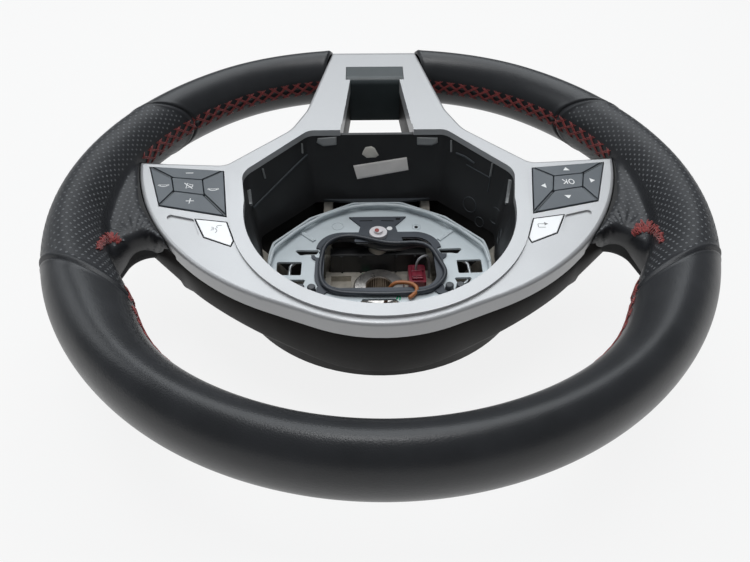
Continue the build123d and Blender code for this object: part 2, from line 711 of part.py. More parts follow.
with BuildPart() as connector_plug:
    with Locations((*PLUG, FLANGE_Z + HUB_BLOCK_HEIGHT)):
        Box(PLUG_WIDTH, PLUG_DEPTH, PLUG_HEIGHT, align=STANDING)
        fillet(connector_plug.edges().filter_by(Axis.Z), 1.5)
        with Locations((0, 0, PLUG_HEIGHT)):
            Box(PLUG_WIDTH - 4, PLUG_DEPTH - 5, 1.5, align=STANDING)
    fillet(connector_plug.edges().group_by(Axis.Z)[-1], 0.5)


def lead(points, bend, radius):
    """Round lead along a bent route."""
    with BuildPart() as cable:
        with BuildLine() as route:
            FilletPolyline(*[(x, y, RIM_PLANE + z) for x, y, z in points], radius=bend)
        with BuildSketch(Plane(origin=route.line @ 0, z_dir=route.line % 0)):
            Circle(radius)
        sweep()
    return cable


lead_brown = lead(
    [(-3, 23, -77), (-3, 23, -47.5), (-19, 22, -47.5), (-24, 30, -47.5), (-17, 36, -47.5)], 3, LEAD_RADIUS
)
lead_grey = lead(
    [(-25, -8, -64.5), (-25, -8, -57), (-31, -11, -54), (-35, -13, -60), (-35, -13, -77)],
    2.5, THIN_LEAD_RADIUS
)


# Switches
def module_plan(grow, depth):
    """Outline of the right switch module at a depth below the wing's face."""
    with BuildSketch(WING.offset(-depth)) as plan:
        Polygon(*PAD, align=None)
        Polygon(*SILVER_KEY, align=None)
        Polygon(PAD_NEAR_IN, (SILVER_KEY[0][0], 7.5), SILVER_KEY[0], SILVER_KEY[1], align=None)
        offset(amount=grow, kind=Kind.INTERSECTION, mode=Mode.REPLACE)
    return plan.sketch


def rib_strip(outer, inner, width, first, last):
    """Straight strip from a pad corner to a corner of the middle key, shortened at its two ends."""
    way = (Vector(*inner) - Vector(*outer)).normalized()
    side = Vector(-way.Y, way.X) * (width / 2)
    start = Vector(*outer) + way * first
    end = Vector(*inner) - way * last
    return Polygon(start + side, end + side, end - side, start - side, align=None, mode=Mode.PRIVATE)


RIB_CORNERS = list(zip(PAD, MIDDLE_KEY))

with BuildPart() as switch_housing_right:
    extrude(module_plan(HOUSING_WALL + GLUE, HOUSING_TOP), amount=-(HOUSING_BOTTOM - HOUSING_TOP))
    extrude(module_plan(GLUE, HOUSING_TOP), amount=-(BOARD_BOTTOM - HOUSING_TOP), mode=Mode.SUBTRACT)
    with BuildSketch(WING.offset(-HOUSING_TOP)):
        for outer, inner in RIB_CORNERS:
            add(rib_strip(outer, inner, RIB, -HOUSING_WALL, RIB_END))
    extrude(amount=-(MAT_TOP - HOUSING_TOP - RIB_LIFT))
    with BuildSketch(WING.offset(-HOUSING_TOP)):
        for outer, inner in RIB_CORNERS:
            add(rib_strip(outer, inner, RIB, RIB_END, RIB_END))
    extrude(amount=HOUSING_TOP)
switch_housing_left = mirrored(switch_housing_right)

with BuildPart() as switch_board_right:
    extrude(module_plan(GLUE / 2, BOARD_BOTTOM), amount=BOARD)
switch_board_left = mirrored(switch_board_right)

with BuildPart() as key_mat_right:
    extrude(module_plan(GLUE / 2, BOARD_BOTTOM - BOARD), amount=KEY_MAT)
key_mat_left = mirrored(key_mat_right)


def key(corners, rise=KEY_RISE, ribs=()):
    """Key cap over an outline on the wing's face, clear of the ribs beside it."""
    with BuildPart() as cap:
        with BuildSketch(WING.offset(-KEY_DEPTH)):
            Polygon(*corners, align=None)
            offset(amount=-KEY_GAP / 2, kind=Kind.INTERSECTION, mode=Mode.REPLACE)
            for outer, inner in ribs:
                slit = rib_strip(outer, inner, RIB + 2 * CLEARANCE, -2 * RIB_END, -2 * RIB_END)
                add(slit, mode=Mode.SUBTRACT)
        extrude(amount=KEY_DEPTH + rise)
        fillet(cap.faces().sort_by(Axis.Z)[-1].edges(), KEY_ROUND)
    return cap


key_volume_down = key([PAD_FAR_OUT, PAD_FAR_IN, MID_FAR_IN, MID_FAR_OUT], ribs=RIB_CORNERS)
key_hang_up = key([PAD_FAR_IN, PAD_NEAR_IN, MID_NEAR_IN, MID_FAR_IN], ribs=RIB_CORNERS)
key_volume_up = key([PAD_NEAR_IN, PAD_NEAR_OUT, MID_NEAR_OUT, MID_NEAR_IN], ribs=RIB_CORNERS)
key_answer = key([PAD_NEAR_OUT, PAD_FAR_OUT, MID_FAR_OUT, MID_NEAR_OUT], ribs=RIB_CORNERS)
key_mute = key(MIDDLE_KEY)
key_voice = key(SILVER_KEY, rise=SILVER_RISE)
key_menu_down = mirrored(key_volume_down)
key_menu_right = mirrored(key_hang_up)
key_menu_up = mirrored(key_volume_up)
key_menu_left = mirrored(key_answer)
key_menu_ok = mirrored(key_mute)
key_back = mirrored(key_voice)

PIECES = {
    "armature": armature,
    "hub_sleeve": hub_sleeve,
    "rim_foam": rim_foam,
    "leather_top": leather_top,
    "leather_grip_right": leather_grip_right,
    "leather_grip_left": leather_grip_left,
    "leather_lower_right": leather_lower_right,
    "leather_lower_left": leather_lower_left,
    "trim_bezel": trim_bezel,
    "spoke_insert": spoke_insert,
    "airbag_well": airbag_well,
    "rear_cover": rear_cover,
    "cover_screws": cover_screws,
    "airbag_carrier": airbag_carrier,
    "horn_mat": horn_mat,
    "horn_contact": horn_contact,
    "guide_pegs": guide_pegs,
    "retaining_spring_right": retaining_spring_right,
    "retaining_spring_left": retaining_spring_left,
    "connector_plug": connector_plug,
    "lead_brown": lead_brown,
    "lead_grey": lead_grey,
    "switch_housing_right": switch_housing_right,
    "switch_housing_left": switch_housing_left,
    "switch_board_right": switch_board_right,
    "switch_board_left": switch_board_left,
    "key_mat_right": key_mat_right,
    "key_mat_left": key_mat_left,
    "key_volume_down": key_volume_down,
    "key_volume_up": key_volume_up,
    "key_answer": key_answer,
    "key_hang_up": key_hang_up,
    "key_mute": key_mute,
    "key_voice": key_voice,
    "key_menu_down": key_menu_down,
    "key_menu_up": key_menu_up,
    "key_menu_left": key_menu_left,
    "key_menu_right": key_menu_right,
    "key_menu_ok": key_menu_ok,
    "key_back": key_back,
}

os.makedirs("parts", exist_ok=True)
for label, piece in PIECES.items():
    piece.part.label = label
    export_step(piece.part, f"parts/{label}.step")
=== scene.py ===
"""Looks of the steering wheel: leather, stitching, satin trim, keys and the open airbag well."""

from math import cos, pi, radians, sin

import bmesh
import bpy
import numpy as np
from mathutils import Matrix, Vector
from mathutils.bvhtree import BVHTree


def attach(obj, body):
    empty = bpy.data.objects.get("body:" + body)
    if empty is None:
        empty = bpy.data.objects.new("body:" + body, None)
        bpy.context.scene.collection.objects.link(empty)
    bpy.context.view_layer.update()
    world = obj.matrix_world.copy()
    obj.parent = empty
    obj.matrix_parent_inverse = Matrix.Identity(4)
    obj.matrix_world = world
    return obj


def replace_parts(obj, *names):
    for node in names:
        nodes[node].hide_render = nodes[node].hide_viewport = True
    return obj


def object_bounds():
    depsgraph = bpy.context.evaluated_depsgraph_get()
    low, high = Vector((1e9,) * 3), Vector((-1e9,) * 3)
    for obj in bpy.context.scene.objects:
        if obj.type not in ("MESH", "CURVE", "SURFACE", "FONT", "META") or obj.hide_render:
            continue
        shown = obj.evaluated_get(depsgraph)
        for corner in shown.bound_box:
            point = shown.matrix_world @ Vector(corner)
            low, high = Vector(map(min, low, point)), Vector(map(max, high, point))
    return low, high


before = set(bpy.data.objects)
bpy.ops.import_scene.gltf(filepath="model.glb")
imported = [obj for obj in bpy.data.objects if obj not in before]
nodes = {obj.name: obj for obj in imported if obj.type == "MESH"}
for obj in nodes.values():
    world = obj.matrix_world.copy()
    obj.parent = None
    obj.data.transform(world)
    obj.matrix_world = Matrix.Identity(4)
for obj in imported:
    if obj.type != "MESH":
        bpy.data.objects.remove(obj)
cad_low, cad_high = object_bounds()
scene = bpy.context.scene
scene.view_settings.view_transform = "Standard"
MM = 0.001
TINY = 1e-12


def linked(name, data):
    """New object in the scene."""
    made = bpy.data.objects.new(name, data)
    scene.collection.objects.link(made)
    return made


# Camera at the photograph's angle, in millimetres and in pixels of the photograph
CAMERA = np.array([10.736, 290.699, 302.326])
FORWARD = np.array([-0.01980, -0.72291, -0.69066])
RIGHT = np.array([-0.99970, 0.02420, 0.00332])
UP = np.array([-0.01431, -0.69052, 0.72318])
PHOTO_WIDTH, PHOTO_MIDDLE, FOCAL = 750.0, (375.0, 281.0), 600.0
SENSOR = 36.0
lens = bpy.data.cameras.new("camera")
lens.sensor_fit = "HORIZONTAL"
lens.sensor_width = SENSOR
lens.lens = SENSOR * FOCAL / PHOTO_WIDTH
lens.clip_start = 0.01
camera = linked("camera", lens)
camera.matrix_world = Matrix(
    [[RIGHT[k], UP[k], -FORWARD[k], CAMERA[k] * MM] for k in range(3)] + [[0, 0, 0, 1]]
)
scene.camera = camera


# Vectors and lines
def polar(radius, angle):
    return radius * np.array([cos(radians(angle)), sin(radians(angle))])


def unit(vectors):
    """Vectors brought to length one."""
    return vectors / (np.linalg.norm(vectors, axis=-1, keepdims=True) + TINY)


def run_of(line):
    """Length along a line up to each of its points."""
    return np.concatenate([[0], np.cumsum(np.linalg.norm(np.diff(line, axis=0), axis=1))])


def at_run(line, run, at):
    """Points of a flat line at lengths along it."""
    return np.stack([np.interp(at, run, line[:, k]) for k in (0, 1)], -1)


def soften(values, rounds):
    """Smooth a row of values or points, with its ends kept."""
    for _ in range(rounds):
        values[1:-1] = (values[:-2] + 2 * values[1:-1] + values[2:]) / 4
    return values


def step(value, low, high):
    """Smooth step from 0 to 1 between two limits."""
    t = np.clip((value - low) / (high - low), 0, 1)
    return t * t * (3 - 2 * t)


# Rim, as in the solids
RIM_RADIUS, RIM_WIDTH, RIM_HEIGHT, RIM_PLANE = 185.0, 28.6, 40.0, 92.0
RIM_INNER = RIM_RADIUS - RIM_WIDTH
RIM_FLAT, FLAT_SPAN = 6.0, 40.0
THUMB_BULGE, THUMB_ANGLE, THUMB_SPAN = 8.0, 30.0, 14.0
SECTION = [
    (1.0, 0.0), (0.76, 0.68), (0.12, 1.0), (-0.62, 0.72),
    (-1.0, 0.05), (-0.74, -0.66), (0.0, -1.0), (0.74, -0.66),
]
COLUMNS, SPLINE_STEPS = 120, 60


def closed_spline(points, count):
    """Smooth closed curve through the section's points, evenly spaced along its length, and that length."""
    scale = np.array([RIM_WIDTH / 2, RIM_HEIGHT / 2])
    knots = np.array(points) * scale
    after = np.roll(knots, -1, 0)
    steps = np.linalg.norm(after - knots, axis=1)
    left = np.roll(steps, 1)
    eye = np.eye(len(knots))
    matrix = np.diag(2 * (left + steps))
    matrix += left[:, None] * np.roll(eye, -1, 1) + steps[:, None] * np.roll(eye, 1, 1)
    slope = (after - knots) / steps[:, None]
    bend = np.linalg.solve(matrix, 6 * (slope - np.roll(slope, 1, 0)))
    one, two = bend[:, None], np.roll(bend, -1, 0)[:, None]
    h = steps[:, None, None]
    t = h * np.linspace(0, 1, SPLINE_STEPS, endpoint=False)[:, None]
    dense = one * (h - t) ** 3 / (6 * h) + two * t ** 3 / (6 * h)
    dense += (knots[:, None] / h - one * h / 6) * (h - t) + (after[:, None] / h - two * h / 6) * t
    dense = np.vstack([dense.reshape(-1, 2), knots[:1]])
    run = run_of(dense)
    return at_run(dense, run, np.linspace(0, run[-1], count, endpoint=False)) / scale, run[-1]


CURVE, GIRTH = closed_spline(SECTION, COLUMNS)
ALONG = np.arange(COLUMNS) * GIRTH / COLUMNS
INNER = int(np.argmin(CURVE[:, 0])) * GIRTH / COLUMNS


def rim_shape(angle):
    """Outer radius and width of the rim at an angle in degrees."""
    off_top = np.abs((angle + 90) % 360 - 180)
    off = np.minimum(180 - off_top, FLAT_SPAN)
    outer = RIM_RADIUS - RIM_FLAT * np.cos(np.radians(90 * off / FLAT_SPAN)) ** 2
    width = RIM_WIDTH + THUMB_BULGE * np.exp(-(((off_top - 90 + THUMB_ANGLE) / THUMB_SPAN) ** 2))
    return outer, width


def rim_point(angle, along, inset=0.0):
    """Points on the rim: angle in degrees, along the girth in millimetres from the outer side."""
    angle, along, inset = np.broadcast_arrays(np.asarray(angle, float), along, inset)
    outer, width = rim_shape(angle)
    u, v = (np.interp(along, ALONG, CURVE[:, k], period=GIRTH) for k in (0, 1))
    radius = outer - width / 2 + u * (width / 2 - inset)
    return np.stack([
        radius * np.cos(np.radians(angle)), radius * np.sin(np.radians(angle)),
        RIM_PLANE + v * (RIM_HEIGHT / 2 - inset),
    ], -1)


def seam(start, end):
    """Upright seam through two points of the plan: its start and the way across it."""
    way = unit(end - start)
    return start, np.array([-way[1], way[0]])


def across(line, points):
    """Distance of points from a seam, to its lower side."""
    return (points[..., :2] - line[0]) @ line[1]


def seam_angle(line, low, high, gap=0.0):
    """Angle between two limits at which the rim meets a seam, for each column of the girth."""
    low, high = np.full(COLUMNS, float(low)), np.full(COLUMNS, float(high))
    for _ in range(40):
        middle = (low + high) / 2
        before = across(line, rim_point(middle, ALONG)) > gap
        low, high = np.where(before, middle, low), np.where(before, high, middle)
    return low


HIGH_SEAM = seam(polar(RIM_RADIUS, 20.5), polar(RIM_INNER - THUMB_BULGE, 35.0))
LOW_SEAM = seam(polar(RIM_RADIUS, -24.3), polar(RIM_INNER, -36.0))
LEG_EDGE = seam(start=np.array([33.0, -164.7]), end=np.array([48.5, -95.0]))
HIGH_ANGLE = seam_angle(HIGH_SEAM, low=5, high=60)
LOW_ANGLE = seam_angle(LOW_SEAM, low=-60, high=-10)
LEG_ANGLE = seam_angle(LEG_EDGE, low=-89, high=-55, gap=-0.4)

# Wings of the bezel, as in the solids
WING_TILT, WING_DROP = radians(5.07), 1.6
WING_NORMAL = np.array([0.0, sin(WING_TILT), cos(WING_TILT)])
WING_UP = np.array([0.0, cos(WING_TILT), -sin(WING_TILT)])
WING_ORIGIN = np.array([0.0, 0.0, RIM_PLANE - WING_DROP])
WING_MIDDLE, WING_ARC = np.array([3.6, -63.0]), 149.1


def on_wing(x, y, rise=0.0):
    """Point on the wing's plane."""
    return WING_ORIGIN + np.array([x, 0, 0]) + y * WING_UP + rise * WING_NORMAL


def wing_edge(angle, gap):
    """Point of the plan at a gap outside the wing's round end."""
    return WING_MIDDLE + polar(WING_ARC + gap, angle)


# Materials
NOISE_LOW, NOISE_HIGH = 0.3, 0.7


def material(name, colour, rough, metallic=0.0, specular=0.5):
    """Shader with plain values, and its node tree to add detail to."""
    made = bpy.data.materials.new(name)
    made.use_nodes = True
    tree = made.node_tree
    shader = tree.nodes["Principled BSDF"]
    shader.inputs["Base Color"].default_value = (*colour, 1)
    shader.inputs["Roughness"].default_value = rough
    shader.inputs["Metallic"].default_value = metallic
    shader.inputs["Specular IOR Level"].default_value = specular
    return made, tree, shader


def node(tree, kind, inputs=None, **settings):
    """Add a shader node of a kind; inputs maps socket names or numbers to values or other sockets."""
    made = tree.nodes.new("ShaderNode" + kind)
    for key, value in settings.items():
        setattr(made, key, value)
    for key, value in (inputs or {}).items():
        socket = made.inputs[key]
        if isinstance(value, bpy.types.NodeSocket):
            tree.links.new(value, socket)
        else:
            socket.default_value = value
    return made


def coordinates(tree):
    """Coordinates in metres, fixed to the piece."""
    return node(tree, "TexCoord").outputs["Object"]


def noise(tree, scale, detail=3.0, rough=0.55):
    return node(tree, "TexNoise", {
        "Vector": coordinates(tree), "Scale": scale, "Detail": detail, "Roughness": rough,
    }).outputs["Fac"]


def ramp(tree, value, low, high, out_low=0.0, out_high=1.0):
    """Map a value between two limits to another range."""
    return node(tree, "MapRange", {
        "Value": value, "From Min": low, "From Max": high, "To Min": out_low, "To Max": out_high,
    }).outputs["Result"]


def spread(tree, scale, detail, low=0.0, high=1.0):
    """Noise stretched over a range."""
    return ramp(tree, noise(tree, scale, detail), NOISE_LOW, NOISE_HIGH, low, high)


def calculate(tree, kind, a, b=0.0):
    return node(tree, "Math", {0: a, 1: b}, operation=kind).outputs["Value"]


def shaded(colour, share):
    """A colour made darker or lighter."""
    return tuple(min(1, share * c) for c in colour)


def tint(tree, shader, value, dark, light):
    """Vary the base colour between two colours."""
    mix = node(tree, "Mix", {"Factor": value}, data_type="RGBA")
    mix.inputs[6].default_value = (*dark, 1)
    mix.inputs[7].default_value = (*light, 1)
    tree.links.new(mix.outputs[2], shader.inputs["Base Color"])


def wear(tree, shader, rough, scale, detail, least, most):
    """Vary the roughness from place to place, by shares of its plain value."""
    value = spread(tree, scale, detail, rough * least, min(1, rough * most))
    tree.links.new(value, shader.inputs["Roughness"])


def bump(tree, shader, height, depth, strength, under=None):
    """Raise the surface by a height, over another bump where one is given."""
    made = node(tree, "Bump", {"Height": height, "Distance": depth, "Strength": strength})
    if under is not None:
        tree.links.new(under, made.inputs["Normal"])
    tree.links.new(made.outputs["Normal"], shader.inputs["Normal"])
    return made.outputs["Normal"]


def leather(name, dark, light, rough, specular):
    """Black grained leather, worn a little smoother in places."""
    made, tree, shader = material(name, dark, rough, specular=specular)
    cells = node(
        tree, "TexVoronoi", {"Vector": coordinates(tree), "Scale": 900.0, "Randomness": 1.0},
        feature="DISTANCE_TO_EDGE",
    ).outputs["Distance"]
    wear(tree, shader, rough, scale=22.0, detail=4.0, least=0.88, most=1.12)
    tint(tree, shader, spread(tree, scale=45.0, detail=5.0), dark, light)
    pebble = bump(tree, shader, ramp(tree, cells, low=0.0, high=0.25), depth=0.00005, strength=0.45)
    bump(tree, shader, noise(tree, scale=140.0), depth=0.00025, strength=0.3, under=pebble)
    return made


def moulded(name, colour, rough, grain=1600.0, depth=0.00004, vary=0.12, specular=0.5, coat=0.0):
    """Moulded plastic or rubber with a fine spark-eroded grain and slight marks."""
    made, tree, shader = material(name, colour, rough, specular=specular)
    shader.inputs["Coat Weight"].default_value = coat
    shade = spread(tree, scale=60.0, detail=5.0)
    tint(tree, shader, shade, shaded(colour, 1 - vary), shaded(colour, 1 + vary))
    wear(tree, shader, rough, scale=35.0, detail=4.0, least=0.88, most=1.12)
    bump(tree, shader, noise(tree, grain, detail=2.0), depth, strength=0.6)
    return made


def painted(name, colour, rough, metallic):
    """Satin silver paint with fine flakes and faint handling marks."""
    made, tree, shader = material(name, colour, rough, metallic)
    cells = node(tree, "TexVoronoi", {"Vector": coordinates(tree), "Scale": 5200.0})
    flake = node(tree, "SeparateColor", {0: cells.outputs["Color"]}).outputs[0]
    tint(tree, shader, flake, shaded(colour, 0.975), shaded(colour, 1.02))
    wear(tree, shader, rough, scale=18.0, detail=5.0, least=0.9, most=1.15)
    bump(tree, shader, noise(tree, scale=2600.0, detail=2.0), depth=0.000012, strength=0.5)
    return made


def turned(name, colour, rough):
    """Lathe-turned steel with rings round the steering axis."""
    made, tree, shader = material(name, colour, rough, metallic=1.0)
    parts = node(tree, "SeparateXYZ", {0: coordinates(tree)}).outputs
    squares = [calculate(tree, "MULTIPLY", parts[axis], parts[axis]) for axis in ("X", "Y")]
    radius = calculate(tree, "SQRT", calculate(tree, "ADD", *squares))
    rings = calculate(tree, "SINE", calculate(tree, "MULTIPLY", radius, 9000.0))
    stain = ramp(tree, noise(tree, scale=130.0, detail=5.0), low=0.35, high=0.7)
    tint(tree, shader, stain, shaded(colour, 0.55), colour)
    wear(tree, shader, rough, scale=90.0, detail=4.0, least=0.8, most=1.3)
    bump(tree, shader, rings, depth=0.00003, strength=0.6)
    return made


def cast(name, colour):
    """Rough cast metal with a dull, stained skin."""
    made, tree, shader = material(name, colour, rough=0.62, metallic=0.35)
    stain = ramp(tree, noise(tree, scale=70.0, detail=6.0, rough=0.65), low=0.35, high=0.68)
    tint(tree, shader, stain, shaded(colour, 0.6), shaded(colour, 1.1))
    wear(tree, shader, 1.0, scale=240.0, detail=3.0, least=0.5, most=0.75)
    bump(tree, shader, noise(tree, scale=420.0, detail=4.0), depth=0.00025, strength=0.7)
    return made


def thread(name, colour):
    """Twisted sewing thread."""
    made, tree, shader = material(name, colour, rough=0.7)
    shader.inputs["Sheen Weight"].default_value = 0.3
    tint(tree, shader, spread(tree, scale=700.0, detail=3.0), shaded(colour, 0.55), shaded(colour, 1.25))
    twist = node(
        tree, "TexWave", {"Vector": coordinates(tree), "Scale": 1500.0, "Distortion": 2.0},
        bands_direction="DIAGONAL",
    ).outputs["Fac"]
    bump(tree, shader, twist, depth=0.0001, strength=0.7)
    return made


LEATHER = leather("smooth_leather", (0.014, 0.015, 0.0165), (0.022, 0.023, 0.0255), 0.33, 0.44)
PERFORATED = leather("perforated_leather", (0.014, 0.015, 0.017), (0.023, 0.024, 0.027), 0.42, 0.40)
# Pale grey of the perforation holes is a painted highlight for the glare in them
HOLE_GLINT = moulded("hole_painted_glint", (0.14, 0.145, 0.15), 0.95, specular=0.1)
RED_THREAD = thread("red_thread", (0.27, 0.024, 0.020))
SILVER = painted("satin_silver", (0.46, 0.462, 0.466), 0.36, 0.4)
BRIGHT = painted("bright_silver", (0.74, 0.74, 0.74), 0.34, 0.25)
BLACK = moulded("black_moulding", (0.020, 0.020, 0.021), 0.44)
SLATE = moulded("slate_moulding", (0.035, 0.045, 0.047), 0.36)
COVER = moulded("cover_moulding", (0.015, 0.0135, 0.0125), 0.5, grain=900.0, depth=0.0001, specular=0.22)
KEY = moulded("key_grey", (0.088, 0.101, 0.113), 0.40, grain=2200.0, depth=0.00002, vary=0.05)
RIB = moulded("rib_grey", (0.045, 0.052, 0.058), 0.45)
# Near-black painted shade, laid as flat sheets over gaps, holes and slots
GAP_SHADE = moulded("key_gap_shade", (0.012, 0.012, 0.013), 0.7, specular=0.2)
CARRIER = moulded("carrier_grey", (0.56, 0.61, 0.63), 0.36, grain=1200.0, depth=0.00003, vary=0.06)
MAT = moulded("mat_rubber", (0.045, 0.052, 0.064), 0.6, grain=1800.0)
LIP = moulded("mat_lip", (0.030, 0.034, 0.042), 0.34, grain=1800.0)
CONTACT = moulded("contact_white", (0.66, 0.63, 0.64), 0.4, vary=0.05)
PEG = moulded("peg_dark", (0.05, 0.055, 0.062), 0.4)
RED = moulded("plug_red", (0.19, 0.012, 0.028), 0.33, vary=0.15, coat=0.2)
PIN_RED = moulded("pin_red", (0.30, 0.06, 0.05), 0.4)
BROWN = moulded("lead_brown", (0.33, 0.115, 0.035), 0.45, grain=2500.0)
GREY = moulded("lead_grey", (0.30, 0.30, 0.31), 0.42, grain=2500.0)
GREEN = moulded("green_paint", (0.02, 0.36, 0.17), 0.55, vary=0.25)
WHITE = moulded("legend_white", (0.80, 0.80, 0.79), 0.5, vary=0.03)
LEGEND = moulded("legend_grey", (0.20, 0.20, 0.20), 0.5, vary=0.05)
PAPER = moulded("label_paper", (0.90, 0.86, 0.82), 0.6, grain=900.0, vary=0.08)
TORN = moulded("label_remnant", (0.66, 0.63, 0.57), 0.8, grain=500.0, depth=0.0002, vary=0.2)
CLIP = moulded("clip_grey", (0.28, 0.29, 0.29), 0.4)
BOARD = moulded("circuit_board", (0.02, 0.12, 0.05), 0.4)
STEEL = turned("turned_steel", (0.80, 0.76, 0.72), 0.30)
SPLINE_STEEL = turned("spline_steel", (0.25, 0.20, 0.15), 0.45)
WIRE = turned("spring_wire", (0.55, 0.57, 0.58), 0.36)
CASTING = cast("cast_metal", (0.58, 0.54, 0.47))
FOAM = moulded("rim_foam", (0.03, 0.03, 0.03), 0.9, grain=500.0, depth=0.0003)

# Every other node is a grey key or a node that a piece below replaces
FINISH = {
    "armature": CASTING, "hub_sleeve": STEEL, "rim_foam": FOAM, "trim_bezel": SILVER, "spoke_insert": SLATE,
    "airbag_well": BLACK, "rear_cover": COVER, "cover_screws": STEEL, "airbag_carrier": CARRIER,
    "horn_mat": MAT, "horn_contact": CONTACT, "guide_pegs": PEG, "connector_plug": RED,
    "key_voice": BRIGHT, "key_back": BRIGHT,
}
for side in ("_right", "_left"):
    FINISH["retaining_spring" + side] = WIRE
    FINISH["switch_housing" + side] = RIB
    FINISH["switch_board" + side] = BOARD
    FINISH["key_mat" + side] = MAT
for name, item in nodes.items():
    item.data.materials.clear()
    item.data.materials.append(FINISH.get(name, KEY))

# Making pieces
ASKEW = [0.31, 0.17, 0.93]
THREAD_TAPER = 0.55


def add(name, mesh, finish, body="wheel", slot=None, smooth=True):
    """Object with a mesh, riding on a body."""
    mesh.polygons.foreach_set("use_smooth", [smooth] * len(mesh.polygons))
    mesh.materials.clear()
    mesh.materials.append(finish)
    made = linked(name, mesh)
    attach(made, body)
    return made


def piece(name, verts, faces, finish, **settings):
    """Mesh object from points in millimetres."""
    mesh = bpy.data.meshes.new(name)
    mesh.from_pydata((np.asarray(verts, float) * MM).tolist(), [], [list(face) for face in faces])
    return add(name, mesh, finish, **settings)


def grid_faces(rows, columns, closed=True, first=0):
    """Quads over a grid of rows, closed round each row or not."""
    faces = []
    for row in range(first, first + (rows - 1) * columns, columns):
        for j in range(columns if closed else columns - 1):
            k = (j + 1) % columns
            faces.append((row + j, row + k, row + columns + k, row + columns + j))
    return faces


def caps(rows, columns, first=0):
    """Faces that close the first and the last row of a grid."""
    last = first + (rows - 1) * columns
    return [tuple(range(first + columns - 1, first - 1, -1)), tuple(range(last, last + columns))]


def solid_faces(rows, columns, first=0):
    """Quads round all rows of a grid, with both ends closed."""
    return grid_faces(rows, columns, True, first) + caps(rows, columns, first)


def turned_over(faces):
    return [face[::-1] for face in faces]


def tubes(paths, radius, sides=6):
    """Round threads along paths, with narrower closed ends."""
    verts, faces = [], []
    ring = np.array([polar(1, angle) for angle in np.arange(sides) * 360 / sides])
    for path in paths:
        path = np.asarray(path, float)
        way = unit(np.gradient(path, axis=0))
        side = unit(np.cross(way, ASKEW))
        other = np.cross(way, side)
        size = np.full(len(path), radius)
        size[[0, -1]] *= THREAD_TAPER
        first = len(verts)
        for i in range(len(path)):
            verts.extend(path[i] + size[i] * (ring[:, :1] * side[i] + ring[:, 1:] * other[i]))
        faces += solid_faces(len(path), sides, first)
    return verts, faces


# Leather panels of the rim
MEAN_RADIUS = 168.0
NEAR_SEAM = np.array([0.0016, 0.0035, 0.006, 0.009])
SEAM_DEPTH, SEAM_REACH, END_INSET = 0.9, 0.8, 3.0
BUTT_DEPTH, BUTT_REACH = 0.45, 1.1


def tuck(off, roll, place, reach):
    """Depth of the leather beside a seam: tucked in at it, and rolled up at a place a little way off."""
    return SEAM_DEPTH * np.exp(-((off / SEAM_REACH) ** 2)) - roll * np.exp(-(((off - place) / reach) ** 2))


def panel(name, start, stop, rows, node_name):
    """Smooth leather between two seams, its ends tucked into the seams and its long edges butted inside."""
    share = np.sort(np.concatenate([NEAR_SEAM, np.linspace(0, 1, rows), 1 - NEAR_SEAM]))
    angle = start + (stop - start) * share[:, None]
    off = np.radians(np.minimum(angle - start, stop - angle)) * MEAN_RADIUS
    depth = tuck(off, roll=0.2, place=2.2, reach=1.2)
    depth = depth + BUTT_DEPTH * np.exp(-(((ALONG - INNER) / BUTT_REACH) ** 2))
    ends = [rim_point(end, ALONG, END_INSET)[None] for end in (start, stop)]
    verts = np.concatenate([ends[0], rim_point(angle, ALONG, depth), ends[1]]).reshape(-1, 3)
    made = piece(name, verts, grid_faces(len(share) + 2, COLUMNS), LEATHER, slot="leather")
    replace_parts(made, node_name)


for label, start, stop, rows in [
    ("top", HIGH_ANGLE, 180 - HIGH_ANGLE, 260),
    ("lower_right", LEG_ANGLE, LOW_ANGLE, 90),
    ("lower_left", 180 - LOW_ANGLE, 180 - LEG_ANGLE, 90),
]:
    panel("rim_leather_" + label, start, stop, rows, "leather_" + label)

# Perforated grips with the spoke roots
TUBE_ROWS, TUBE_COLUMNS, TUBE_SPAN = 84, 64, (-46, 53)
PULL, CREASE_PULL = 0.5, 0.6


def tube_blank():
    """Closed length of the rim under the right grip."""
    along = np.arange(TUBE_COLUMNS) * GIRTH / TUBE_COLUMNS
    verts = rim_point(np.linspace(*TUBE_SPAN, TUBE_ROWS)[:, None], along).reshape(-1, 3).tolist()
    return verts, solid_faces(TUBE_ROWS, TUBE_COLUMNS)


def root_blank(first):
    """Closed root of the right spoke, rounded along its top edge and widely along its foot."""
    middle, crotch, crotch_radius = np.array([150.0, 3.0]), np.array([134.0, 36.6]), 11.0
    top, top_round, foot, foot_rise, foot_inset = 0.8, 7.0, -23.5, 17.0, 18.0
    full_from, fade, least = 32.0, 14.0, 0.15
    plan = [wing_edge(angle, gap=0.5) for angle in np.linspace(39.5, 9.2, 16)]
    share = [np.clip((abs(y) - full_from + fade) / fade, least, 1) for x, y in plan]
    plan += [np.array([157.0, -43.0]), polar(169, -12), polar(169, 0), polar(169, 15), polar(160.4, 20)]
    plan += [crotch + polar(crotch_radius, angle) for angle in np.linspace(344, 244, 12)]
    share = np.array(share + [1] * (len(plan) - len(share)))[:, None]
    turn = np.radians(np.linspace(0, 90, 8))
    layers = [(top - top_round * (1 - cos(t)), top_round * (1 - sin(t)), 0) for t in turn]
    layers += [(foot + foot_rise * (1 - cos(t)), 0, foot_inset * (1 - sin(t))) for t in turn[::-1]]
    way = np.array(plan) - middle
    reach = np.linalg.norm(way, axis=1)[:, None]
    verts = []
    for rise, inset, under in layers:
        flat = middle + way * (reach - inset - under * share) / reach
        verts += [on_wing(x, y, rise).tolist() for x, y in flat]
    ends = turned_over(caps(len(layers), len(plan), first))
    return verts, grid_faces(len(layers), len(plan), True, first) + ends


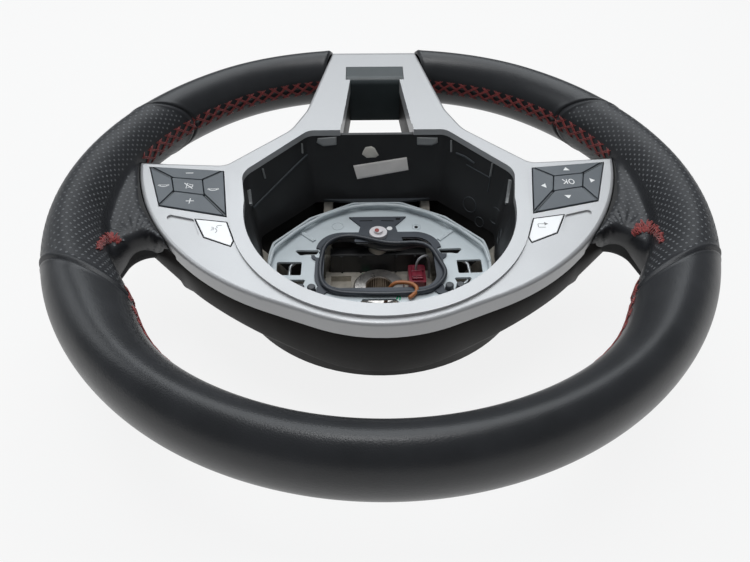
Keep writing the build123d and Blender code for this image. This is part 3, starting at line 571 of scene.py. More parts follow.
def pull_of(points, edges):
    """Way from each point to the middle of its neighbours."""
    count = np.bincount(edges.ravel(), minlength=len(points))
    total = np.zeros_like(points)
    for k in range(3):
        total[:, k] += np.bincount(edges[:, 0], points[edges[:, 1], k], len(points))
        total[:, k] += np.bincount(edges[:, 1], points[edges[:, 0], k], len(points))
    return total / np.maximum(count, 1)[:, None] - points


def normals_of(points, quads):
    """Normal of the surface at each point."""
    a, b, c, d = (points[quads[:, k]] for k in range(4))
    face = np.cross(c - a, d - b)
    total = np.zeros_like(points)
    for k in range(4):
        for j in range(3):
            total[:, j] += np.bincount(quads[:, k], face[:, j], len(points))
    return unit(total)


def wrinkles(points, normals):
    """Small folds that fan out from the crotch."""
    middle, depth, coarse, fine = np.array([138.5, 26.6]), 0.24, 19, 31
    way = points[:, :2] - middle
    far = np.linalg.norm(way, axis=1)
    turn = np.arctan2(way[:, 1], way[:, 0])
    fade = step(far, 3, 8) * (1 - step(far, 10, 21)) * step(points[:, 2], RIM_PLANE - 14, RIM_PLANE - 6)
    fold = np.sin(coarse * turn + 0.9 * np.sin(3 * turn)) + 0.5 * np.sin(fine * turn + 1.0)
    return normals * (depth * fade * fold)[:, None]


def joined_blank(voxel):
    """Mesh of the tube and the root, joined over small voxels."""
    tube_verts, tube_faces = tube_blank()
    root_verts, root_faces = root_blank(len(tube_verts))
    work = piece("grip_work", tube_verts + root_verts, tube_faces + root_faces, PERFORATED)
    remesh = work.modifiers.new("join", "REMESH")
    remesh.mode = "VOXEL"
    remesh.voxel_size = voxel * MM
    bpy.context.view_layer.update()
    mesh = bpy.data.meshes.new_from_object(work.evaluated_get(bpy.context.evaluated_depsgraph_get()))
    bpy.data.objects.remove(work)
    return mesh


def values_of(items, name, width, kind):
    """One property of all vertices, edges or loops of a mesh."""
    values = np.zeros(len(items) * width, kind)
    items.foreach_get(name, values)
    return values.reshape(-1, width)


def shape_grip(mesh):
    """Smooth the joined blank, fill its creases and add the wrinkles."""
    points = values_of(mesh.vertices, "co", 3, float) / MM
    edges = values_of(mesh.edges, "vertices", 2, np.int32)
    quads = values_of(mesh.loops, "vertex_index", 1, np.int32).reshape(-1, 4)
    for _ in range(6):
        points = points + PULL * pull_of(points, edges)
    angle = np.degrees(np.arctan2(points[:, 1], points[:, 0]))
    radius = np.hypot(points[:, 0], points[:, 1])
    soft = step(angle, -30, -18) * (1 - step(angle, 27, 37)) * (1 - step(radius, 168, 180))
    for _ in range(50):
        normals = normals_of(points, quads)
        out = np.maximum((pull_of(points, edges) * normals).sum(1), 0)
        points = points + (CREASE_PULL * soft * out)[:, None] * normals
    for _ in range(8):
        points = points + (PULL * soft)[:, None] * pull_of(points, edges)
    points = points + wrinkles(points, normals_of(points, quads))
    mesh.vertices.foreach_set("co", (points * MM).ravel())


def cut_grip(mesh, zone):
    """Cut the grip at its two seams and tuck its edges in there."""
    cut = bmesh.new()
    cut.from_mesh(mesh)
    for line, sign in [(HIGH_SEAM, -1), (LOW_SEAM, 1)]:
        bmesh.ops.bisect_plane(
            cut, geom=cut.verts[:] + cut.edges[:] + cut.faces[:],
            plane_co=Vector((*(line[0] * MM), 0)), plane_no=Vector((*(sign * line[1]), 0)), clear_outer=True,
        )
    cut.normal_update()
    for vert in cut.verts:
        point = np.array(vert.co) / MM
        off = min(abs(across(HIGH_SEAM, point)), abs(across(LOW_SEAM, point)))
        if off < zone:
            vert.co -= vert.normal * float(tuck(off, roll=0.5, place=2.0, reach=1.0)) * MM
    cut.to_mesh(mesh)
    cut.free()


right_mesh = joined_blank(voxel=0.85)
shape_grip(right_mesh)
cut_grip(right_mesh, zone=6)
left_mesh = right_mesh.copy()
left_mesh.transform(Matrix.Scale(-1, 4, (1, 0, 0)))
left_mesh.flip_normals()
grips = []
for side, mesh in [("right", right_mesh), ("left", left_mesh)]:
    made = add("grip_leather_" + side, mesh, PERFORATED, slot="leather")
    grips.append(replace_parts(made, "leather_grip_" + side))


# Finding places on pieces
def trees_of(items):
    """Search trees of several pieces."""
    bpy.context.view_layer.update()
    graph = bpy.context.evaluated_depsgraph_get()
    return [BVHTree.FromObject(item, graph) for item in items]


def cast_on(trees, start, way):
    """First point and normal that a ray meets, in millimetres."""
    found = (None, None)
    least = float("inf")
    for tree in trees:
        place, normal, _, far = tree.ray_cast(Vector(np.asarray(start) * MM), Vector(way))
        if place is not None and far < least:
            normal = np.array(normal)
            found = np.array(place) / MM, normal if normal @ way < 0 else -normal
            least = far
    return found


def pixel(trees, u, v):
    """Point and normal where the camera's ray through a pixel of the photograph lands."""
    way = FORWARD + RIGHT * (u - PHOTO_MIDDLE[0]) / FOCAL + UP * (PHOTO_MIDDLE[1] - v) / FOCAL
    return cast_on(trees, CAMERA, unit(way))


def pixels(trees, spots):
    """Points and normals behind several pixels; a ray that slips past an edge takes the place before it."""
    found = []
    for u, v in spots:
        point, normal = pixel(trees, u, v)
        found.append(found[-1] if point is None else (point, normal))
    return np.array(found).swapaxes(0, 1)


grip_trees = trees_of(grips)


def on_grip(point, reach):
    """Nearest place on the grips, if there is one in reach."""
    for tree in grip_trees:
        near, normal, _, _ = tree.find_nearest(Vector(np.asarray(point) * MM), reach * MM)
        if near is not None:
            return np.array(near) / MM, np.array(normal)
    return None, None


# Stitching along the rim: angles in degrees, reach in pitches, sizes in millimetres
PITCH, PAIR_GAP, STITCH_REACH = 3.4, 0.28, 1.5
HALF_BAND, STITCH_WAVE, THREAD_RADIUS = 5.0, 0.25, 0.33
STITCH_FOOT, STITCH_RISE, STITCH_POINTS = 0.12, 0.35, 9
SKIN_REACH = 3.0
LEG_STITCH = float(np.interp(INNER, ALONG, LEG_ANGLE)) + 0.6
GRIP_STITCH, TOP_STITCH = -16.0, 30.0


def on_rim(angle, off, lift):
    """Point over the rim's inner side, on the grip's own skin where that is near."""
    along = INNER - off
    point = rim_point(angle, along)
    normal = unit(np.cross(rim_point(angle + 0.1, along) - point, rim_point(angle, along + 0.3) - point))
    if normal[:2] @ point[:2] > 0:
        normal = -normal
    near, way = on_grip(point, SKIN_REACH)
    if near is not None:
        point, normal = near, way
    return point + normal * lift


def lattice(first, last):
    """Crossing pairs of threads along the rim's inner side between two angles."""
    paths = []
    for i in range(-1, int((last - first) / PITCH) + 1):
        for side in (-1, 1):
            for beside in (-PAIR_GAP, PAIR_GAP):
                path = []
                for t in np.linspace(0, 1, STITCH_POINTS):
                    angle = first + PITCH * (i + STITCH_REACH * t) + beside
                    if first <= angle <= last:
                        off = side * HALF_BAND * (1 - 2 * t) + STITCH_WAVE * sin(7.1 * i + 5 * t)
                        path.append(on_rim(angle, off, STITCH_FOOT + STITCH_RISE * sin(pi * t)))
                if len(path) > 2:
                    paths.append(path)
    return paths


for label, first, last in [
    ("stitching_right", LEG_STITCH, GRIP_STITCH), ("stitching_left", 180 - GRIP_STITCH, 180 - LEG_STITCH),
    ("stitching_top", TOP_STITCH, 180 - TOP_STITCH),
]:
    piece(label, *tubes(lattice(first, last), THREAD_RADIUS), RED_THREAD)

# Stitches bunched in the crotches: lines and half widths in pixels, threads in millimetres
RIGHT_BUNCH = [(98.5, 250), (101, 243), (107, 238), (114, 237), (120, 242)]
RIGHT_BUNCH_HALF = [3, 5, 6, 6, 3]
LEFT_BUNCH = [(662, 243), (659, 234), (652, 228), (645, 225), (638, 229), (633, 235)]
LEFT_BUNCH_HALF = [3, 5, 7, 7, 6, 3]
BUNCH_LEANS, BUNCH_RADIUS, BUNCH_FOOT, BUNCH_RISE, BUNCH_JUMP = (-1.7, 0.3, 1.9), 0.42, 0.1, 0.6, 5


def bunch(name, line, half, count):
    """Stitches across a line of pixels between rim and spoke; returns their middles."""
    line = np.array(line, float)
    run = run_of(line)
    paths = []
    for i in range(count):
        for lean in BUNCH_LEANS:
            ends = []
            for sign in (-1, 1):
                spot = run[-1] * (i + 0.5) / count + sign * lean * (0.7 + 0.3 * sin(1.7 * i))
                way = unit(at_run(line, run, spot + 0.5) - at_run(line, run, spot - 0.5))
                reach = np.interp(spot, run, half) * (0.8 + 0.2 * sin(2.4 * i + lean))
                ends.append(at_run(line, run, spot) + sign * reach * np.array([-way[1], way[0]]))
            path = []
            for t in np.linspace(0, 1, STITCH_POINTS):
                point, normal = pixel(grip_trees, *(ends[0] + (ends[1] - ends[0]) * t))
                if point is not None and (not path or np.linalg.norm(point - path[-1]) < BUNCH_JUMP):
                    path.append(point + normal * (BUNCH_FOOT + BUNCH_RISE * sin(pi * t)))
            if len(path) > 3:
                paths.append(path)
    piece(name, *tubes(paths, BUNCH_RADIUS), RED_THREAD)
    return [path[len(path) // 2] for path in paths]


knots = bunch("crotch_stitching_right", RIGHT_BUNCH, RIGHT_BUNCH_HALF, 15)
knots += bunch("crotch_stitching_left", LEFT_BUNCH, LEFT_BUNCH_HALF, 18)

# Perforation, in millimetres and degrees
HOLE_RADIUS, HOLE_SIDES, HOLE_LIFT, HOLE_DISH = 0.68, 7, 0.05, 0.03
HOLE_TURN, HOLES_ROUND, HOLE_ROW, HOLE_PITCH = 1.045, 30, 3.1, 3.6
STITCH_CLEAR, SEAM_CLEAR, KNOT_CLEAR = 6.5, 3.4, 2.2
TILTED = [0.3, 0.5, 0.81]


def staggered(low, high, row):
    """Evenly spaced places, moved by half a pitch in every second row."""
    return np.arange(low, high, HOLE_PITCH) + HOLE_PITCH / 2 * (row % 2)


def root_rays():
    """Rays on the right spoke root from above and below, and from near and far, in staggered rows."""
    above, below, near, far = 20, -50, 90, -100
    forth = np.array([0, 1.0, 0])
    rays = []
    for i, x in enumerate(np.arange(104, 170, HOLE_ROW)):
        for y in staggered(-48, 42, i):
            rays += [(on_wing(x, y, above), -WING_NORMAL), (on_wing(x, y, below), WING_NORMAL)]
    for i, z in enumerate(RIM_PLANE + np.arange(-26, 0, HOLE_ROW)):
        for x in staggered(108, 168, i):
            rays += [(np.array([x, near, z]), -forth), (np.array([x, far, z]), forth)]
    return rays


def hole_places(sign):
    """Places and normals of the holes of one grip, on the rim and then on the root."""
    rim_skin, tube_skin, least_facing = 0.8, 0.9, 0.68
    tube = BVHTree.FromPolygons(*tube_blank())
    flip = np.array([sign, 1, 1])
    found = []
    for i, angle in enumerate(np.arange(-42, 46, HOLE_TURN)):
        for j in range(HOLES_ROUND):
            along = (j + 0.5 * (i % 2)) * GIRTH / HOLES_ROUND
            near, normal = on_grip(rim_point(angle, along) * flip, rim_skin)
            if near is not None and abs(along - INNER) > STITCH_CLEAR:
                found.append((near, normal))
    for start, way in root_rays():
        point, normal = cast_on(grip_trees, start * flip, way * flip)
        if point is not None and normal @ (way * flip) <= -least_facing:
            if tube.find_nearest(Vector(point * flip), tube_skin)[0] is None:
                found.append((point, normal))
    kept = []
    for point, normal in found:
        off_seam = min(abs(across(line, point * flip)) for line in (HIGH_SEAM, LOW_SEAM))
        off_knot = min(np.linalg.norm(point - knot) for knot in knots)
        if off_seam >= SEAM_CLEAR and off_knot >= KNOT_CLEAR:
            kept.append((point, normal))
    return kept


def across_of(normal):
    """Two directions across a normal."""
    side = unit(np.cross(normal, TILTED))
    return side, np.cross(normal, side)


def perforate(name, places):
    """Small round holes, as dished spots on the leather, pale with a painted highlight for the glare in them.
    """
    verts, faces = [], []
    ring = [polar(1, angle) for angle in np.arange(HOLE_SIDES) * 360 / HOLE_SIDES]
    for point, normal in places:
        side, other = across_of(normal)
        first = len(verts)
        verts += [point + normal * HOLE_LIFT + HOLE_RADIUS * (c * side + s * other) for c, s in ring]
        verts.append(point + normal * HOLE_DISH)
        faces += [(first + k, first + (k + 1) % HOLE_SIDES, first + HOLE_SIDES) for k in range(HOLE_SIDES)]
    piece(name, verts, faces, HOLE_GLINT)


perforate("perforation_right", hole_places(1))
perforate("perforation_left", hole_places(-1))

# Marks on the keys
KEY_FACE, SILVER_FACE, MARK_LIFT = 0.6, 0.3, 0.03


def stroke(points, width, closed=False):
    """Flat ribbon along a line in the plane."""
    points = np.asarray(points, float)
    if closed:
        way = np.roll(points, -1, 0) - np.roll(points, 1, 0)
    else:
        way = np.gradient(points, axis=0)
    way = unit(way)
    side = np.stack([-way[:, 1], way[:, 0]], 1) * width / 2
    count = len(points)
    faces = []
    for i in range(count if closed else count - 1):
        j = (i + 1) % count
        faces.append((i, j, count + j, count + i))
    return np.vstack([points + side, points - side]), faces


def arc(cx, cy, rx, ry, first, last, count=14):
    angles = np.radians(np.linspace(first, last, count))
    return np.stack([cx + rx * np.cos(angles), cy + ry * np.sin(angles)], 1)


def fill(points):
    return np.asarray(points, float), [tuple(range(len(points)))]


def triangle(angle):
    c, s = cos(radians(angle)), sin(radians(angle))
    return [fill(np.array([(-2.1, -1.3), (2.1, -1.3), (0, 1.7)]) @ np.array([[c, s], [-s, c]]))]


def facing_up(face, verts):
    a, b, c = (np.array(verts[i]) for i in face[:3])
    return face if np.cross(b - a, c - a)[2] > 0 else face[::-1]


def mark(key, place, shapes, finish, rise, size):
    """Flat marks on a key's face; each shape is a list of flat points with faces."""
    verts, faces = [], []
    for points, parts in shapes:
        faces += [[len(verts) + i for i in part] for part in parts]
        verts += [on_wing(place[0] + size * x, place[1] + size * y, rise + MARK_LIFT) for x, y in points]
    faces = [facing_up(face, verts) for face in faces]
    piece("mark_" + key, verts, faces, finish, body="key_" + key, smooth=False)


PLUS = [stroke([(-2.3, 0), (2.3, 0)], 0.55), stroke([(0, -2.3), (0, 2.3)], 0.55)]
MINUS = [stroke([(-2.3, 0), (2.3, 0)], 0.6)]
HANDSET = [
    stroke(arc(0, -0.6, 4.0, 1.9, 25, 155), 0.75), stroke(arc(0, -1.8, 2.6, 1.2, 40, 140), 0.45),
    stroke(arc(-3.5, -0.3, 1.0, 0.75, 0, 330), 0.45, True),
    stroke(arc(3.5, -0.3, 1.0, 0.75, 0, 330), 0.45, True),
]
MUTE = [
    stroke([(-2.6, -0.9), (-1.3, -0.9), (1.0, -2.4), (1.0, 2.4), (-1.3, 0.9), (-2.6, 0.9)], 0.5, True),
    stroke([(-2.9, 2.6), (2.9, -2.6)], 0.5),
]
LETTERS = [
    stroke(arc(-1.9, 0, 1.35, 1.9, 0, 345, 20), 0.5, True), stroke([(0.5, -1.9), (0.5, 1.9)], 0.5),
    stroke([(2.6, 1.9), (0.7, 0.0)], 0.5), stroke([(0.9, 0.3), (2.7, -1.9)], 0.5),
]
BACK = [
    stroke([(-1.5, 2.0), (2.3, 2.0), (2.6, 1.7), (2.6, -0.5), (2.3, -0.9), (-1.4, -0.9)], 0.45),
    fill([(-3.4, -0.9), (-1.2, 0.5), (-1.2, -2.3)]),
]
VOICE = [
    stroke([
        (-1.2, -2.9), (1.3, -2.6), (1.5, -1.6), (0.9, -0.9), (2.2, -0.3), (1.0, 0.9), (0.9, 1.9), (1.5, 3.2),
    ], 0.45),
    stroke(arc(4.0, -0.2, 1.0, 1.5, 130, 230, 8), 0.35), stroke(arc(5.4, -0.2, 1.6, 2.3, 135, 225, 8), 0.35),
]
for key, place, shapes, size in [
    ("volume_down", (117.3, -27.4), MINUS, 1.0), ("volume_up", (112.6, -1.3), PLUS, 1.0),
    ("mute", (115.9, -15.2), MUTE, 1.0), ("answer", (131.0, -15.8), HANDSET, 0.72),
    ("hang_up", (100.4, -11.6), HANDSET, 0.72), ("voice", (92.0, 22.6), VOICE, 1.0),
    ("menu_down", (-117.6, -27.4), triangle(180), 1.0), ("menu_up", (-112.8, -1.3), triangle(0), 1.0),
    ("menu_left", (-131.2, -16.2), triangle(90), 1.0), ("menu_right", (-100.2, -11.6), triangle(-90), 1.0),
    ("menu_ok", (-115.9, -15.2), LETTERS, 1.15), ("back", (-92.4, 22.6), BACK, 1.0),
]:
    if key in ("voice", "back"):
        mark(key, place, shapes, LEGEND, SILVER_FACE, size)
    else:
        mark(key, place, shapes, WHITE, KEY_FACE, size)

GAP_CORNERS = [(107.0, 13.9), (88.4, 17.0), (82.6, 32.0), (83.6, 36.4), (99.5, 29.0)]


def key_gap_shade(name, sign):
    """Dark ribbon round a silver key, painted shade for the gap between key and bezel."""
    width, lift = 0.9, 0.05
    line = []
    for (ax, ay), (bx, by) in zip(GAP_CORNERS, GAP_CORNERS[1:] + GAP_CORNERS[:1]):
        line += [(sign * (ax + (bx - ax) * t), ay + (by - ay) * t) for t in np.arange(8) / 8]
    points, faces = stroke(line, width, True)
    piece(name, [on_wing(x, y, lift) for x, y in points], faces, GAP_SHADE, smooth=False)


key_gap_shade("key_gap_right", 1)
key_gap_shade("key_gap_left", -1)

# Leads, with the heights of their routes from the rim's plane
BROWN_ROUTE = [(-3, 23, -77), (-3, 23, -47.5), (-19, 22, -47.5), (-24, 30, -47.5), (-17, 36, -47.5)]
GREY_ROUTE = [(-25, -8, -64.5), (-25, -8, -57), (-31, -11, -54), (-35, -13, -60), (-35, -13, -77)]


def lead(name, route, radius, finish, node_name):
    """Soft lead on one smooth line with the route's points."""
    points = [(x * MM, y * MM, (RIM_PLANE + z) * MM) for x, y, z in route]
    curve = bpy.data.curves.new(name, "CURVE")
    curve.dimensions = "3D"
    curve.bevel_depth = radius * MM
    curve.bevel_resolution = 4
    curve.use_fill_caps = True
    curve.resolution_u = 16
    spline = curve.splines.new("NURBS")
    spline.points.add(len(points) - 1)
    for held, point in zip(spline.points, points):
        held.co = (*point, 1)
    spline.order_u = 3
    spline.use_endpoint_u = True
    curve.materials.append(finish)
    made = linked(name, curve)
    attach(made, "wheel")
    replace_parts(made, node_name)


lead("brown_lead", BROWN_ROUTE, 1.3, BROWN, "lead_brown")
lead("grey_lead", GREY_ROUTE, 0.9, GREY, "lead_grey")


# Small things in the well and on the hub
RIDGE_SECTION = [(-1.0, -0.2), (-0.75, 0.75), (0.0, 1.0), (0.75, 0.75), (1.0, -0.2)]


def patch(name, outline, trees, finish, height):
    """Thin raised patch on what lies behind an outline of pixels."""
    part, foot = 1.2, -0.05
    outline = np.array(outline, float)
    edge = []
    for a, b in zip(outline, np.roll(outline, -1, 0)):
        parts = max(1, int(np.linalg.norm(b - a) / part))
        edge += [a + (b - a) * t for t in np.arange(parts) / parts]
    middle = np.mean(edge, 0)
    rows = [(1.0, foot), (0.96, height), (0.7, height), (0.4, height), (0.08, height)]
    verts = []
    for share, lift in rows:
        points, normals = pixels(trees, middle + (np.array(edge) - middle) * share)
        verts += (points + normals * lift).tolist()
    faces = grid_faces(len(rows), len(edge)) + caps(len(rows), len(edge))[1:]
    piece(name, verts, faces, finish)


def ridge(name, lines, trees, finish, size):
    """Raised ribs along lines of pixels on what lies behind them, by half their width and their height."""
    half, height = size
    columns = len(RIDGE_SECTION)
    verts, faces = [], []
    for line in lines:
        line = np.array(line, float)
        run = run_of(line)
        points, normals = pixels(trees, at_run(line, run, np.linspace(0, run[-1], max(4, int(run[-1])))))
        side = unit(np.cross(normals, np.gradient(points, axis=0)))
        first = len(verts)
        for point, normal, way in zip(points, normals, side):
            verts += [point + way * half * a + normal * height * b for a, b in RIDGE_SECTION]
        faces += grid_faces(len(points), columns, False, first)
        faces += [tuple(range(end, end + columns)) for end in (first, len(verts) - columns)]
    piece(name, verts, faces, finish, smooth=False)


def rings(name, spots, trees, finish, thick):
    """Round embossed rings on what lies behind pixels, each with its radius in millimetres."""
    lift, turn = 0.05, np.radians(np.arange(0, 365, 12))
    paths = []
    for u, v, radius in spots:
        point, normal = pixel(trees, u, v)
        side, other = across_of(normal)
        paths.append([point + normal * lift + radius * (cos(t) * side + sin(t) * other) for t in turn])
    piece(name, *tubes(paths, thick), finish)


# By name: how it is made, the node it lies on, its finish, its size and its pixels in the photograph
WELL, PLATE, HORN = "airbag_well", "airbag_carrier", "horn_mat"
DETAILS = {
    "bare_label": (patch, WELL, PAPER, 0.12, [(352.9, 165.5), (407, 157), (408.8, 170), (357, 179.3)]),
    "torn_label": (patch, WELL, TORN, 0.15, [
        (361.8, 154.3), (363.2, 150.7), (365.4, 147.1), (371.3, 146.1),
        (374.8, 148), (378.9, 155.2), (375.7, 157.5), (366.8, 157.9),
    ]),
    "well_rails": (ridge, WELL, RIB, (0.7, 0.8), [
        [(307, 154.5), (296, 165), (282, 179), (268, 193), (253, 208)],
        [(456.3, 153), (464.9, 156.3), (474.4, 163)],
    ]),
    "well_clips": (ridge, WELL, CLIP, (0.45, 1.4), [
        [(451.7, 140), (451.7, 151.6)], [(492.9, 163), (490.6, 176)],
        [(301.4, 143.5), (302, 153)], [(262.2, 168.5), (264.6, 178)],
    ]),
    "well_posts": (ridge, WELL, CLIP, (1.7, 1.6), [
        [(511, 180), (507.4, 204)], [(248.3, 190), (250, 205)],
    ]),
    "mould_rings": (rings, WELL, RIB, 0.3, [
        (469.6, 204.6, 5.5), (495, 215.6, 5.8), (479.2, 221.9, 3.5), (499.3, 236.6, 4.6),
    ]),
    "well_mark": (ridge, WELL, RIB, (0.4, 0.4), [[(466.3, 164.5), (490.2, 177.9), (487.8, 191.7)]]),
    "carrier_ribs": (ridge, PLATE, CARRIER, (1.7, 1.3), [
        [(301.9, 233.4), (314.5, 241.5)], [(451.5, 231.2), (438.5, 240.5)],
    ]),
    "carrier_rings": (rings, PLATE, CARRIER, 0.35, [(337.7, 226.3, 3.9), (416.1, 226.9, 2.9)]),
    # The dark carrier hole, mat hole and mat slots are painted shade, as thin sheets on the surface
    "carrier_hole": (patch, PLATE, GAP_SHADE, 0.04, arc(416.1, 227.1, 1.9, 1.4, 0, 330, 12)),
    "contact_centre": (patch, "horn_contact", PIN_RED, 0.25, arc(376.9, 230.3, 2.3, 1.9, 0, 330, 12)),
    "mat_dot": (patch, HORN, WHITE, 0.15, arc(389.5, 228.4, 3.0, 1.9, 0, 330, 12)),
    "mat_hole": (patch, HORN, GAP_SHADE, 0.04, [(395.6, 217.9), (400.4, 217.9), (400.4, 219.9), (395.6, 219.9)]),
    "mat_slots": (ridge, HORN, GAP_SHADE, (0.5, 0.12), [
        [(359.5, 220.9), (372.4, 220.6)], [(381.2, 220.6), (393.6, 220.9)],
    ]),
    "green_dab": (patch, "armature", GREEN, 0.12, [
        (362.1, 273.4), (366, 272.9), (370.8, 273.4), (369.7, 276.1), (365.9, 277.7), (362.1, 276.6),
    ]),
    "green_stroke": (ridge, PLATE, GREEN, (0.5, 0.15), [
        [(396.8, 300.4), (397.3, 296.9), (399.2, 295.8), (400.3, 297.3), (399.6, 300.4)],
    ]),
    "well_tab_right": (patch, WELL, CLIP, 0.9, [
        (317.7, 138), (336.5, 136.5), (336.5, 144.6), (323, 146), (316.5, 142.5),
    ]),
    "well_tab_left": (patch, WELL, CLIP, 0.9, [
        (417, 137), (437.5, 137.5), (438, 142.5), (432, 145), (417, 144.6),
    ]),
    "plug_ribs": (ridge, "connector_plug", RED, (0.35, 0.6), [
        [(412, 271.3), (423.4, 270.8)], [(412.5, 276.7), (422.8, 276.2)],
        [(413.6, 282), (422.8, 281.6)], [(416.3, 271.5), (416.8, 281.8)],
    ]),
}
for name, (make, node_name, finish, size, spots) in DETAILS.items():
    make(name, spots, trees_of([nodes[node_name]]), finish, size)

# Edges of the mat and the carrier
MAT_OPENING = [
    (38.3, 6), (36.5, -14), (30, -22.5), (18.5, -25), (6.6, -20.5), (-3, -16.5), (-15, -15.5), (-27, -17),
    (-35, -12), (-39, 2.7), (-42.7, 13), (-38, 23), (-31, 29.5), (-18, 31.6), (1, 32), (25, 30.5), (34, 27),
    (37.5, 18.5),
]
MAT_FAR_EDGE = MAT_OPENING[1:9]
CARRIER_EDGE = [(70.4, 7), (69.5, -9), (55, -28.2), (36.5, -45), (17, -54.3), (0, -56)]
CARRIER_EDGE += [(-x, y) for x, y in CARRIER_EDGE[-2::-1]]
CARRIER_EDGE_PIXEL = (382.9, 203.6)
CARRIER_TOP = pixel(trees_of([nodes[PLATE]]), *CARRIER_EDGE_PIXEL)[0][2]
MAT_LIP_Z, CARRIER_LIP_Z = 44.2, CARRIER_TOP - 0.4
FOLD_SECTION = [(0.0, 0.0), (0.7, -2.5), (0.3, -5.5), (-0.6, -7.5), (-1.6, -7.3), (-1.1, -4.0), (-1.2, 0.0)]


def mat_fold():
    """Edge of the mat that hangs into the opening below the contact."""
    count, drop, least = 60, 1, 0.25
    line = np.array(MAT_FAR_EDGE, float)
    x = np.linspace(line[0, 0], line[-1, 0], count)
    y = soften(np.interp(-x, -line[:, 0], line[:, 1]), rounds=10)
    sag = least + (1 - least) * np.sin(np.linspace(0, pi, count))
    top = MAT_LIP_Z - drop
    verts = [(a, b + dy, top + dz * h) for a, b, h in zip(x, y, sag) for dy, dz in FOLD_SECTION]
    piece("mat_fold", verts, solid_faces(count, len(FOLD_SECTION)), LIP, slot="mat_rubber")


def lip(name, outline, z, radius, finish, slot):
    """Round lip along a softened outline at one height."""
    path = np.array(outline, float)
    run = run_of(path)
    fine = soften(at_run(path, run, np.linspace(0, run[-1], 150)), rounds=14)
    points = np.column_stack([fine, np.full(len(fine), z)])
    piece(name, *tubes([points], radius, sides=10), finish, slot=slot)


mat_fold()
lip("mat_lip", MAT_OPENING + MAT_OPENING[:2], MAT_LIP_Z, 1.5, LIP, "mat_rubber")
lip("carrier_lip", CARRIER_EDGE, CARRIER_LIP_Z, 1.2, CARRIER, "carrier_plastic")


# Ledge, near wall, contact bridge and bore
def well_ledge():
    """Curved ledge at the foot of the well's far wall."""
    half, bow, back, front, top, foot = 39, 4.6, -63.6, -63.4, 46.4, 44.8
    x = np.linspace(-half, half, 27)
    bowed = front + bow * (1 - (x / half) ** 2)
    verts = []
    for y, z in [(back, top), (bowed, top), (bowed, foot), (back, foot)]:
        verts += np.column_stack(np.broadcast_arrays(x, y, z)).tolist()
    piece("well_ledge", verts, grid_faces(4, len(x), False), RIB, smooth=False)


def cover_wall():
    """Smooth near wall of the rear cover, round in its middle and straight under the spoke roots."""
    radius, run_way = 92.2, np.array([0.78, -0.63])
    top, foot, foot_rise, rise_half, rise_power, end, end_slope = 80.0, 43.3, 13.2, 100, 2.6, 117, 0.38
    rounding, floor, thick, fillet = 3, 12.0, 2.4, 4.5
    half = [polar(radius, angle) for angle in np.linspace(90, 67, 8)]
    half += [wing_edge(angle, gap=-0.3) for angle in np.linspace(67, 41.7, 22)]
    half = np.array(half + [half[-1] + far * run_way for far in np.arange(3, 34, 3)])
    plan = np.vstack([half[::-1], half[1:] * np.array([-1, 1])])
    way = unit(np.gradient(plan, axis=0))
    outward = np.stack([way[:, 1], -way[:, 0]], 1)
    outward *= np.sign((outward * plan).sum(1))[:, None]
    off = np.abs(plan[:, 0])
    low = foot + foot_rise * np.sin(np.minimum(off / rise_half, 1) * pi / 2) ** rise_power
    low += end_slope * np.maximum(off - end, 0)
    section = [(0.0, top - low)]
    section += [(rounding * (1 - cos(t)), rounding * (1 - sin(t))) for t in np.radians(np.linspace(0, 90, 6))]
    section += [(floor, 0.0), (floor, thick), (fillet, thick), (thick, fillet), (thick, top - low)]
    rows = [np.column_stack([plan - inset * outward, low + rise]) for inset, rise in section]
    verts = np.stack(rows, 1).reshape(-1, 3)
    piece("cover_near_wall", verts, solid_faces(len(plan), len(section)), COVER, slot="black_plastic")


def contact_bridge():
    """Dark bar behind the hub that carries the horn contact's post, with ribs on its face."""
    half, rounding, rib, rib_rise = 33, 1.2, 1.4, 0.9
    near, far, foot, top, face, crest = -20.4, -26.0, 15.2, 29.9, -22, 28
    corners = [(near, top, 0), (far, top, 90), (far, foot, 180), (near, foot, 270)]
    section = [np.array([y, z]) + polar(rounding, a + t) for y, z, a in corners for t in (0, 30, 60, 90)]
    runs = [(-half, half, 0.0)] + [(x, x + rib, rib_rise) for x in (-26, -13, 11.6, 24.6)]
    verts, faces = [], []
    for low, high, grow in runs:
        first = len(verts)
        faces += grid_faces(2, len(section), True, first) + turned_over(caps(2, len(section), first))
        for x in (low, high):
            verts += [(x, y + grow * (y > face), z - grow * (z > crest)) for y, z in section]
    piece("contact_bridge", verts, faces, BLACK, slot="black_plastic", smooth=False)


def bore_teeth():
    """Splined lining of the column bore."""
    teeth, tooth, outer, top, foot = 36, (9.2, 9.2, 8.4, 8.4), 9.3, 18.6, 1.0
    inner = np.array(tooth * teeth)
    turn = np.arange(len(inner)) * 2 * pi / len(inner)
    c, s = np.cos(turn), np.sin(turn)
    verts = []
    for radius, z in [(outer, top), (inner, top), (inner, foot), (outer, foot)]:
        verts += np.column_stack(np.broadcast_arrays(radius * c, radius * s, z)).tolist()
    piece("bore_spline", verts, grid_faces(4, len(turn)), SPLINE_STEEL, smooth=False)


well_ledge()
cover_wall()
contact_bridge()
bore_teeth()

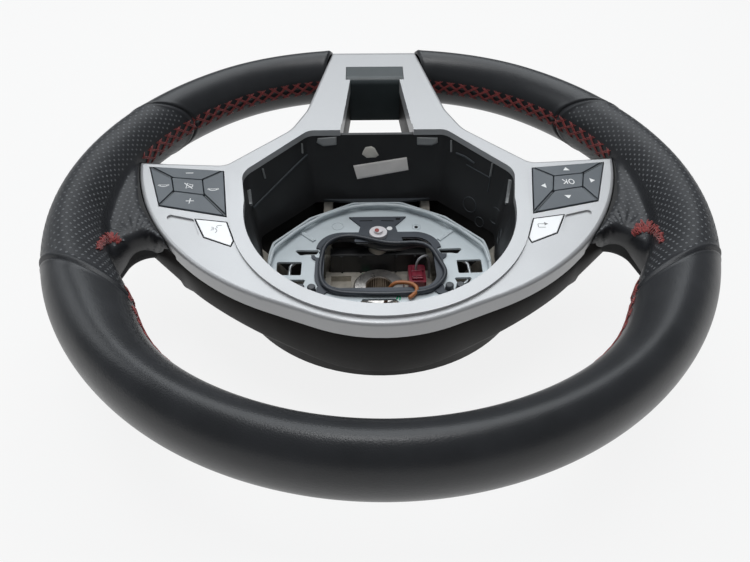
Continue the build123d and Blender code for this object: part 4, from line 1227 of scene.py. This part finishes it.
# Floor and light, in metres and watts
FLOOR_HALF, FLOOR_COLOUR, FLOOR_GLOW = 6.0, (0.62, 0.62, 0.61), 0.85
LAMP_TARGET = Vector((0, 0, 0.05))
LAMPS = [
    ("overhead", (0.03, 0.10, 1.3), (0.5, 0.4), 4.0, (0.98, 0.99, 1.0)),
    ("far", (0.0, -0.75, 1.4), (1.6, 1.2), 16.0, (0.93, 0.97, 1.0)),
    ("side", (1.0, -0.3, 0.8), (0.6, 0.6), 2.0, (0.93, 0.97, 1.0)),
]
WORLD_COLOUR, WORLD_STRENGTH = (0.90, 0.94, 1.0), 0.28


def stage_floor():
    """Pale floor that looks almost white to the camera and in reflections, and keeps the shadow."""
    mesh = bpy.data.meshes.new("floor")
    corners = [(-1, -1), (1, -1), (1, 1), (-1, 1)]
    mesh.from_pydata([(FLOOR_HALF * x, FLOOR_HALF * y, cad_low[2]) for x, y in corners], [], [(0, 1, 2, 3)])
    made, tree, shader = material("floor", FLOOR_COLOUR, rough=0.9, specular=0.1)
    path = node(tree, "LightPath").outputs
    seen = calculate(tree, "MAXIMUM", path["Is Camera Ray"], path["Is Glossy Ray"])
    seen = calculate(tree, "MAXIMUM", seen, path["Is Transmission Ray"])
    share = calculate(tree, "MULTIPLY", seen, FLOOR_GLOW)
    glow = node(tree, "Emission", {"Color": (1, 1, 1, 1), "Strength": 1.0})
    mix = node(tree, "MixShader", {0: share, 1: shader.outputs[0], 2: glow.outputs[0]})
    tree.links.new(mix.outputs[0], tree.nodes["Material Output"].inputs["Surface"])
    mesh.materials.append(made)
    floor = linked("floor", mesh)


def soft_light(name, place, size, power, colour):
    """Rectangular lamp that points at the wheel."""
    lamp = bpy.data.lights.new(name, "AREA")
    lamp.shape = "RECTANGLE"
    lamp.size, lamp.size_y = size
    lamp.energy = power
    lamp.color = colour
    made = linked(name, lamp)
    made.location = place
    made.rotation_euler = (LAMP_TARGET - Vector(place)).to_track_quat("-Z", "Y").to_euler()


stage_floor()
for lamp in LAMPS:
    soft_light(*lamp)
world = bpy.data.worlds.new("world")
scene.world = world
world.use_nodes = True
background = world.node_tree.nodes["Background"].inputs
background["Color"].default_value = (*WORLD_COLOUR, 1)
background["Strength"].default_value = WORLD_STRENGTH
